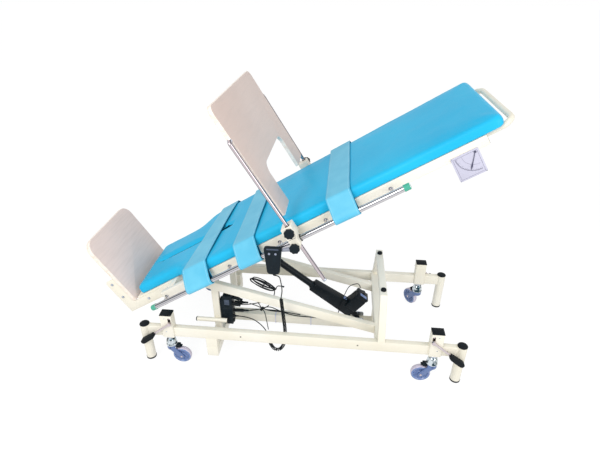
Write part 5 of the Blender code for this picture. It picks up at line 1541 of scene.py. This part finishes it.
def makeMotor(place, top):
    bm = bmesh.new()
    block(bm, (0.0445, -0.0325, -top + 0.022), (0.1175, 0.0325, -0.0263), 0.008, 4)
    block(bm, (0.0440, -0.0330, -top), (0.1180, 0.0330, -top + 0.0205), 0.0075, 4)
    block(bm, (0.0470, -0.0300, -top + 0.019), (0.1150, 0.0300, -top + 0.024), 0.004, 2)
    for i in range(5):
        z = -0.106 + i * 0.0125
        for k in (-1, 1):
            block(bm, *atSide((0.056, 0.0318, z), (0.106, 0.0332, z + 0.0042), k), 0.0006, 2)
        block(bm, (0.0436, -0.022, z), (0.0450, 0.022, z + 0.0042), 0.0006, 2)
    for x in (0.052, 0.110):
        for y in (-0.025, 0.025):
            screwHead(bm, (x, y, -top), (0, 0, -1), 0.0032)
    settle(bm, "motorBox", "actuator", actuatorBlack, place, "actuator_motor")
    bm = bmesh.new()
    block(bm, (0.0590, -0.0285, -top - 0.0005), (0.1030, -0.0085, -top + 0.0004), 0.0004, 2)
    block(bm, (0.1275, -0.0110, -0.0548), (0.1495, 0.0110, -0.0515), 0.0006, 2)
    settle(bm, "motorLabel", "actuator", labelBlue, place)
    bm = bmesh.new()
    turnedOn(bm, [(0, -0.002), (0.0068, -0.002), (0.0072, 0.001), (0.0064, 0.003), (0.0048, 0.0032),
                  (0.0046, 0.0048), (0.0030, 0.0050), (0, 0.0050)], (0.0805, -0.002, -top), (0, 0, -1), 32)
    settle(bm, "motorSocket", "actuator", cordBlack, place)


makeActuator(drive)
print("actuator made")


# control box with its sockets, and the sleeves where cords leave their housings

control = {"x0": -0.417, "x1": -0.368, "y0": -0.188, "y1": -0.128, "z0": 0.186, "z1": 0.376,
           "split": 0.112, "sockets": ((-0.174, 0.238), (-0.156, 0.262), (-0.150, 0.300), (-0.172, 0.322),
                                       (-0.150, 0.346), (-0.172, 0.205)),
           "plugs": ((-0.172, 0.322, 0.046), (-0.150, 0.346, 0.054)), "sleeve": (0.030, 0.0066, 0.0036)}


def sleeve(name, body, points, long, wide, thin, look, ribs=7):
    # a ribbed strain relief that follows a cord's first stretch
    spots = evenly([Vector(p) for p in points], max(int(lineLength(points) / 0.0015), 8))
    line, radii, done = [spots[0]], [wide], 0.0
    for a, b in zip(spots, spots[1:]):
        done += (b - a).length
        if done > long:
            break
        part = done / long
        groove = 0.86 if (part * ribs) % 1 > 0.55 and part > 0.2 else 1.0
        line.append(b)
        radii.append((wide + (thin - wide) * part) * groove)
    return hose(name, line, wide, look, 5, radii=radii, body=body)


def makeControlBox(v, cords):
    bm = bmesh.new()
    x0, x1, y0, y1, z0, z1 = (v[k] for k in ("x0", "x1", "y0", "y1", "z0", "z1"))
    for low, high, easing in (
            ((x0, y0 + 0.0008, z0), (x1, y1, z0 + v["split"]), 0.005),
            ((x0 + 0.0014, y0 + 0.0034, z0 + 0.109), (x1 - 0.0012, y1 - 0.001, z0 + 0.116), 0.0015),
            ((x0, y0, z0 + v["split"] + 0.001), (x1, y1, z1), 0.005),
            ((x0 + 0.007, -0.1627, z1 - 0.016), (x1 - 0.012, -0.157, z1 + 0.064), 0.0016),
            ((-0.4327, y0 + 0.002, z0 + 0.034), (x0 + 0.007, y1 - 0.022, z1 - 0.026), 0.0016)):
        block(bm, low, high, easing, 3 if easing > 0.004 else 2)
    for i in range(6):
        z = z0 + 0.020 + i * 0.0125
        block(bm, (x0 + 0.010, y0 - 0.0004, z), (x1 - 0.010, y0 + 0.0014, z + 0.0050), 0.0006, 2)
    for x in (x0 + 0.007, x1 - 0.007):
        for z in (z0 + 0.008, z1 - 0.009):
            screwHead(bm, (x, y0 + 0.0004, z), (0, -1, 0), 0.0034)
    for z in (z1 + 0.050, z1 + 0.030):
        screwHead(bm, (x0 + 0.022, -0.1568, z), (0, 1, 0), 0.0045)
    settle(bm, "controlHousing", "base", blackPlastic, basePlace, "control_box")
    bm = bmesh.new()
    for y, z in v["sockets"]:
        turnedOn(bm, [(0, -0.001), (0.0092, -0.001), (0.0096, 0.0006), (0.0096, 0.0050),
                      (0.0080, 0.0064), (0.0072, 0.0064), (0, 0.0064)], (x1, y, z), (1, 0, 0), 32)
    for y, z, long in v["plugs"]:
        turnedOn(bm, [(0, 0.004), (0.0088, 0.004), (0.0092, 0.006), (0.0092, long * 0.6),
                      (0.0070, long * 0.72), (0.0058, long), (0, long)], (x1, y, z), (-x1, 0, -0.12), 32)
    settle(bm, "controlPlugs", "base", cordBlack, basePlace)
    # a thin pale sheet on the front: painted highlight
    bm = bmesh.new()
    block(bm, (x0 + 0.010, y0 - 0.0006, z1 - 0.056), (x1 - 0.012, y0 + 0.0004, z1 - 0.022), 0.0004, 2)
    settle(bm, "controlPaintedHighlight", "base", paintedHighlight, basePlace)
    for name, cord in cords:
        sleeve(name, "base", cord, *v["sleeve"], cordBlack)


makeControlBox(control, (("handsetPlugSleeve", handsetPoints[::-1]), ("motorPlugSleeve", motorPoints),
                         ("sparePlugSleeve", hankPoints)))
print("control box made")


# handset on its hook, with two round buttons

def handsetOutline(v, shrink=1.0):
    wide, top, low = v["wide"], v["top"], v["low"]
    shape = (arc(wide - 0.012, top - 0.012, 0.012, 0, 90, 9)
             + arc(-wide + 0.012, top - 0.012, 0.012, 90, 180, 9)
             + arc(-wide + 0.026, low + 0.016, 0.016, 180, 270, 9)
             + arc(wide - 0.026, low + 0.016, 0.016, 270, 360, 9))
    middle = (top + low) / 2
    return [(v["off"] + x * shrink, middle + (z - middle) * shrink) for x, z in shape]


def makeHandset(v):
    hung = bedPlace @ Matrix.Translation((v["s"], v["y"], v["n"]))
    place = hung @ Matrix.Rotation(tilt, 4, "Y")
    top, low, off, front, high = v["top"], v["low"], v["off"], v["front"], v["button"]
    bm = bmesh.new()
    slab(bm, sideOf(handsetOutline(v), front), (0, 0.0180, 0), 0.0042, 4)
    slab(bm, sideOf(handsetOutline(v, 0.965), front + 0.0172), (0, 0.0020, 0))
    slab(bm, sideOf(handsetOutline(v), front + 0.0188), (0, v["back"] - front - 0.0188, 0), 0.0042, 4)
    for _, x in v["buttons"]:
        tool = bmesh.new()
        rod(tool, (off + x, front - 0.01, high), (off + x, front + 0.0085, high), 0.0057, segments=36)
        bm = carved(bm, tool)
        turnedOn(bm, [(0.0059, -0.0004), (0.0062, 0.0010), (0.0078, 0.0012), (0.0092, 0.0006),
                      (0.0096, -0.0006), (0.0059, -0.0004)], (off + x, front, high), (0, -1, 0))
    for i in range(5):
        y, z = front + 0.0002, low + 0.020 + i * 0.006
        rod(bm, (off - 0.016, y, z), (off + 0.016, y, z), 0.0009, segments=10)
    settle(bm, "handsetShell", "handset", blackPlastic, place, "handset")
    bm = bmesh.new()
    hook = ([(-0.0165, 0.004)] + arc(0, 0, 0.0165, 180, 0, 17) + [(0.0165, -0.010), (0.0135, -0.010)]
            + arc(0, 0, 0.0135, 0, 180, 17) + [(-0.0135, 0.004)])
    slab(bm, endOf([(-y, n) for y, n in hook], -0.010), (0.020, 0, 0), 0.0008, 2)
    settle(bm, "handsetHook", "handset", blackPlastic, hung)
    # a thin pale band below the top edge: painted highlight
    bm = bmesh.new()
    block(bm, (off - 0.026, front - 0.0004, top - 0.0120), (off + 0.026, front + 0.0006, top - 0.0050),
          0.0004, 2)
    settle(bm, "handsetPaintedHighlight", "handset", paintedHighlight, place)
    for node, x in v["buttons"]:
        bm = bmesh.new()
        spun(bm, [(0, 0.0066), (0.0022, 0.0067), (0.0034, 0.0072), (0.0042, 0.0075), (0.0050, 0.0068),
                  (0.0052, 0.0058), (0.0052, 0), (0, 0)], steps=36)
        spot = Matrix.Translation((off + x, front + 0.0055, high)) @ Matrix.Rotation(pi / 2, 4, "X")
        settle(bm, node + "_cap", node, buttonGrey, place @ spot, node)
    sleeve("handsetSleeve", "handset", handsetPoints, *v["sleeve"], cordBlack)


makeHandset(handset)


# angle gauge and its plumb pointer

gauge = {"s0": 1.331, "s1": 1.440, "n0": -0.029, "n1": 0.080, "y": -0.3003, "thick": 0.004,
         "hub": (1.424, 0.068), "arcs": (0.052, 0.076, 0.0785), "inset": 0.007, "line": 0.0008,
         "ticks": 37, "step": 2.5, "tickHalf": 0.00035}


def makeGauge(v):
    face, hub = v["y"] - v["thick"], v["hub"]
    marks, proud = face + 0.0004, (0, -0.0006, 0)
    bm = bmesh.new()
    slab(bm, sideOf(roundedRect(v["s0"], v["s1"], v["n0"], v["n1"], 0.004), v["y"]), (0, -v["thick"], 0),
         0.0008, 2)
    settle(bm, "gaugeFace", "bed", gaugeSheet, bedPlace, "gauge_plate")
    bm = bmesh.new()
    inset, line = v["inset"], v["line"]
    s0, s1, n0, n1 = v["s0"] + inset, v["s1"] - inset, v["n0"] + inset, v["n1"] - inset
    for low, high in (((s0, n0), (s1, n0 + line)), ((s0, n1 - line), (s1, n1)),
                      ((s0, n0), (s0 + line, n1)), ((s1 - line, n0), (s1, n1))):
        block(bm, (low[0], face - 0.0002, low[1]), (high[0], marks, high[1]))
    for r in v["arcs"]:
        ring = arc(*hub, r, 178, 272, 40) + arc(*hub, r + 0.0007, 272, 178, 40)
        slab(bm, sideOf(ring, marks), proud)
    centre, rim = Vector((hub[0], marks, hub[1])), v["arcs"][-1]
    for i in range(v["ticks"]):
        a = radians(180 + i * v["step"])
        long = 0.0090 if i % 6 == 0 else (0.0060 if i % 2 == 0 else 0.0035)
        ray = Vector((cos(a), 0, sin(a)))
        side = Vector((-sin(a), 0, cos(a))) * v["tickHalf"]
        start, end = centre + ray * (rim - long), centre + ray * rim
        slab(bm, [start - side, end - side, end + side, start + side], proud)
    settle(bm, "gaugeMarks", "bed", gaugeInk, bedPlace)
    bm = bmesh.new()
    for s, n in ((s0 - 0.0035, n0 - 0.0035), (s1 + 0.0035, n0 - 0.0035), (s0 - 0.0035, n1 + 0.0035)):
        screwHead(bm, (s, face, n), (0, -1, 0), 0.0026)
    settle(bm, "gaugeRivets", "bed", zinc, bedPlace)
    place = bedPlace @ Matrix.Translation((hub[0], face - 0.0020, hub[1])) @ Matrix.Rotation(tilt, 4, "Y")
    bm = bmesh.new()
    needle = [(0.0034, -0.061), (0.0013, -0.040), (0.0011, -0.004)]
    needle = ([(-x, z) for x, z in reversed(needle)] + [(0, -0.074)] + needle
              + arc(0, 0, 0.0048, -70, 250, 24))
    slab(bm, sideOf(needle, -0.0009), (0, 0.0018, 0), 0.0003, 1)
    spun(bm, [(0, 0.0016), (0.0030, 0.0016), (0.0040, 0.0008), (0.0040, -0.0016), (0, -0.0016)],
         Matrix.Rotation(pi / 2, 4, "X"), 28)
    settle(bm, "plumbPointer", "pointer", gaugeInk, place, "gauge_pointer")


makeGauge(gauge)
print("handset and gauge made")


# cable ties along the spine, the grey cone beside the rail, leads tied before the control box

ties = {"x": (-0.1625, 0.0435), "wide": 0.0036, "thick": 0.0012}
leads = {"radius": 0.0024, "y": -0.136, "plugX": -0.3550, "plugZ": (0.3000, 0.2440), "motorRadius": 0.0022}


def makeTrim(v):
    bm = bmesh.new()
    for x in v["x"]:
        line = roundedRect(-0.0262, 0.0262, 0.0700, 0.1284, 0.003, 4)
        outer = [(y * 1.045, z + (v["thick"] if z > 0.1 else -v["thick"])) for y, z in line]
        ring, tool = bmesh.new(), bmesh.new()
        slab(tool, endOf(line, x - 0.004), (0.008, 0, 0))
        slab(ring, endOf(outer, x - v["wide"] / 2), (v["wide"], 0, 0))
        pour(bm, carved(ring, tool))
        block(bm, (x - 0.0030, -0.0320, 0.1210), (x + 0.0030, -0.0265, 0.1270), 0.0010, 2)
        rod(bm, (x, -0.0300, 0.124), (x + 0.006, -0.0310, 0.150), 0.0008, 0.0005, 10)
    settle(bm, "whiteTies", "base", tieWhite, basePlace)
    bm = bmesh.new()
    turnedOn(bm, [(0, 0), (0.0060, 0), (0.0072, 0.0020), (0.0102, 0.0380), (0.0096, 0.0410),
                  (0, 0.0415)], (0.556, -0.3820, 0.0790), (0.041, 0, -0.0150), 36)
    rod(bm, (0.592, -0.3820, 0.0658), (0.6155, -0.3720, 0.0620), 0.0045, segments=24)
    settle(bm, "coneHandle", "tray_carriage", coneGrey, bedPlace)


def looseLead(name, knots, radius, body):
    line = smoothLine([basePlace @ Vector(p) for p in knots], 40)
    hose(name, line, radius, cordBlack, 2, body=body)


def makeLooseCables(v):
    y = v["y"]
    routes = {
        "bundleUpper": [(-0.2830, 0, 0.2974), (-0.2500, -0.004, 0.2900), (-0.2160, -0.004, 0.2740),
                        (-0.1900, -0.002, 0.2640), (-0.1300, 0, 0.2590), (-0.0086, 0.006, 0.2356)],
        "bundleLower": [(-0.2830, 0.004, 0.2471), (-0.2450, 0.002, 0.2560), (-0.2120, 0, 0.2660),
                        (-0.1700, 0, 0.2560), (-0.1000, 0.004, 0.2480), (-0.0086, 0.012, 0.2320)],
        "bundleDrop": [(-0.2354, -0.006, 0.3140), (-0.2150, -0.008, 0.2740), (-0.2000, -0.007, 0.2400),
                       (-0.1852, -0.006, 0.1251)],
        "bundleEnd": [(-0.2200, -0.007, 0.2640), (-0.2000, -0.007, 0.2780), (-0.1762, -0.006, 0.2982)]}
    for name, knots in routes.items():
        looseLead(name, [(x, y + aside, z) for x, aside, z in knots], v["radius"], "base")
    bm = bmesh.new()
    for z in v["plugZ"]:
        turnedOn(bm, [(0, 0), (0.0086, 0), (0.0092, 0.002), (0.0090, 0.040), (0.0062, 0.050),
                      (0.0050, 0.074), (0, 0.074)], (v["plugX"] - 0.010, y, z),
                 (0.010 - v["plugX"], 0, 0.01), 28)
    rod(bm, (-0.2190, y - 0.014, 0.2690), (-0.2110, y + 0.006, 0.2690), 0.0075, segments=20)
    settle(bm, "bundlePlugs", "base", cordBlack, basePlace)
    looseLead("motorLead", [(0.2170, -0.020, 0.2750), (0.2230, -0.024, 0.2950), (0.2480, -0.026, 0.3650),
                            (0.2875, -0.024, 0.3880), (0.3030, -0.020, 0.3780), (0.3110, -0.016, 0.3550)],
              v["motorRadius"], "actuator")


makeTrim(ties)
makeLooseCables(leads)
print("trim made")


# floor, backdrop and light

studio = {"floorGlow": 0.90, "floorGrey": 0.16, "floorPlain": 0.72, "floorSize": 30, "worldPlain": 0.82,
          "aim": (0.1, 0, 0.5),
          # each lamp's name, place, size and power
          "lamps": (("key", (-1.6, -3.4, 3.2), 2.2, 102), ("fill", (3.0, -2.6, 2.2), 2.6, 62))}


def emptyTree(owner):
    owner.use_nodes = True
    owner.node_tree.nodes.clear()
    return owner.node_tree


def shaderNode(tree, kind, **fixed):
    made = tree.nodes.new("ShaderNode" + kind)
    for key, value in fixed.items():
        made.inputs[key].default_value = value
    return made


def plainGrey(level):
    return (level, level, level, 1)


def splitByRay(tree, plain, seen, output):
    # plain lights the object, and seen is what the camera, mirrors and glass look at
    path = shaderNode(tree, "LightPath")
    ray = path.outputs["Is Camera Ray"]
    for name in ("Is Glossy Ray", "Is Transmission Ray"):
        most = shaderNode(tree, "Math")
        most.operation = "MAXIMUM"
        tree.links.new(ray, most.inputs[0])
        tree.links.new(path.outputs[name], most.inputs[1])
        ray = most.outputs[0]
    mix, out = shaderNode(tree, "MixShader"), shaderNode(tree, output)
    for start, end in ((ray, mix.inputs[0]), (plain, mix.inputs[1]), (seen, mix.inputs[2]),
                       (mix.outputs[0], out.inputs[0])):
        tree.links.new(start, end)


def makeStudio(values):
    bm = bmesh.new()
    bmesh.ops.create_grid(bm, x_segments=1, y_segments=1, size=values["floorSize"])
    look = bpy.data.materials.new("studioFloor")
    tree = emptyTree(look)
    plain = shaderNode(tree, "BsdfDiffuse", Color=plainGrey(values["floorPlain"]))
    seen = shaderNode(tree, "BsdfDiffuse", Color=plainGrey(values["floorGrey"]))
    glow = shaderNode(tree, "Emission", Strength=values["floorGlow"])
    both = shaderNode(tree, "AddShader")
    tree.links.new(seen.outputs[0], both.inputs[0])
    tree.links.new(glow.outputs[0], both.inputs[1])
    splitByRay(tree, plain.outputs[0], both.outputs[0], "OutputMaterial")
    settle(bm, "studioFloor", None, look)
    worldScene.world = bpy.data.worlds.new("studio")
    tree = emptyTree(worldScene.world)
    plain = shaderNode(tree, "Background", Strength=values["worldPlain"])
    white = shaderNode(tree, "Background", Color=plainGrey(1))
    splitByRay(tree, plain.outputs[0], white.outputs[0], "OutputWorld")
    for name, spot, size, power in values["lamps"]:
        lamp = bpy.data.lights.new(name, "AREA")
        lamp.energy = power
        lamp.size = size
        turn = (Vector(values["aim"]) - Vector(spot)).to_track_quat("-Z", "Y").to_matrix().to_4x4()
        linked(name, lamp).matrix_world = Matrix.Translation(spot) @ turn
    worldScene.view_settings.view_transform = "Standard"


makeStudio(studio)
print("studio set")

bpy.context.view_layer.update()
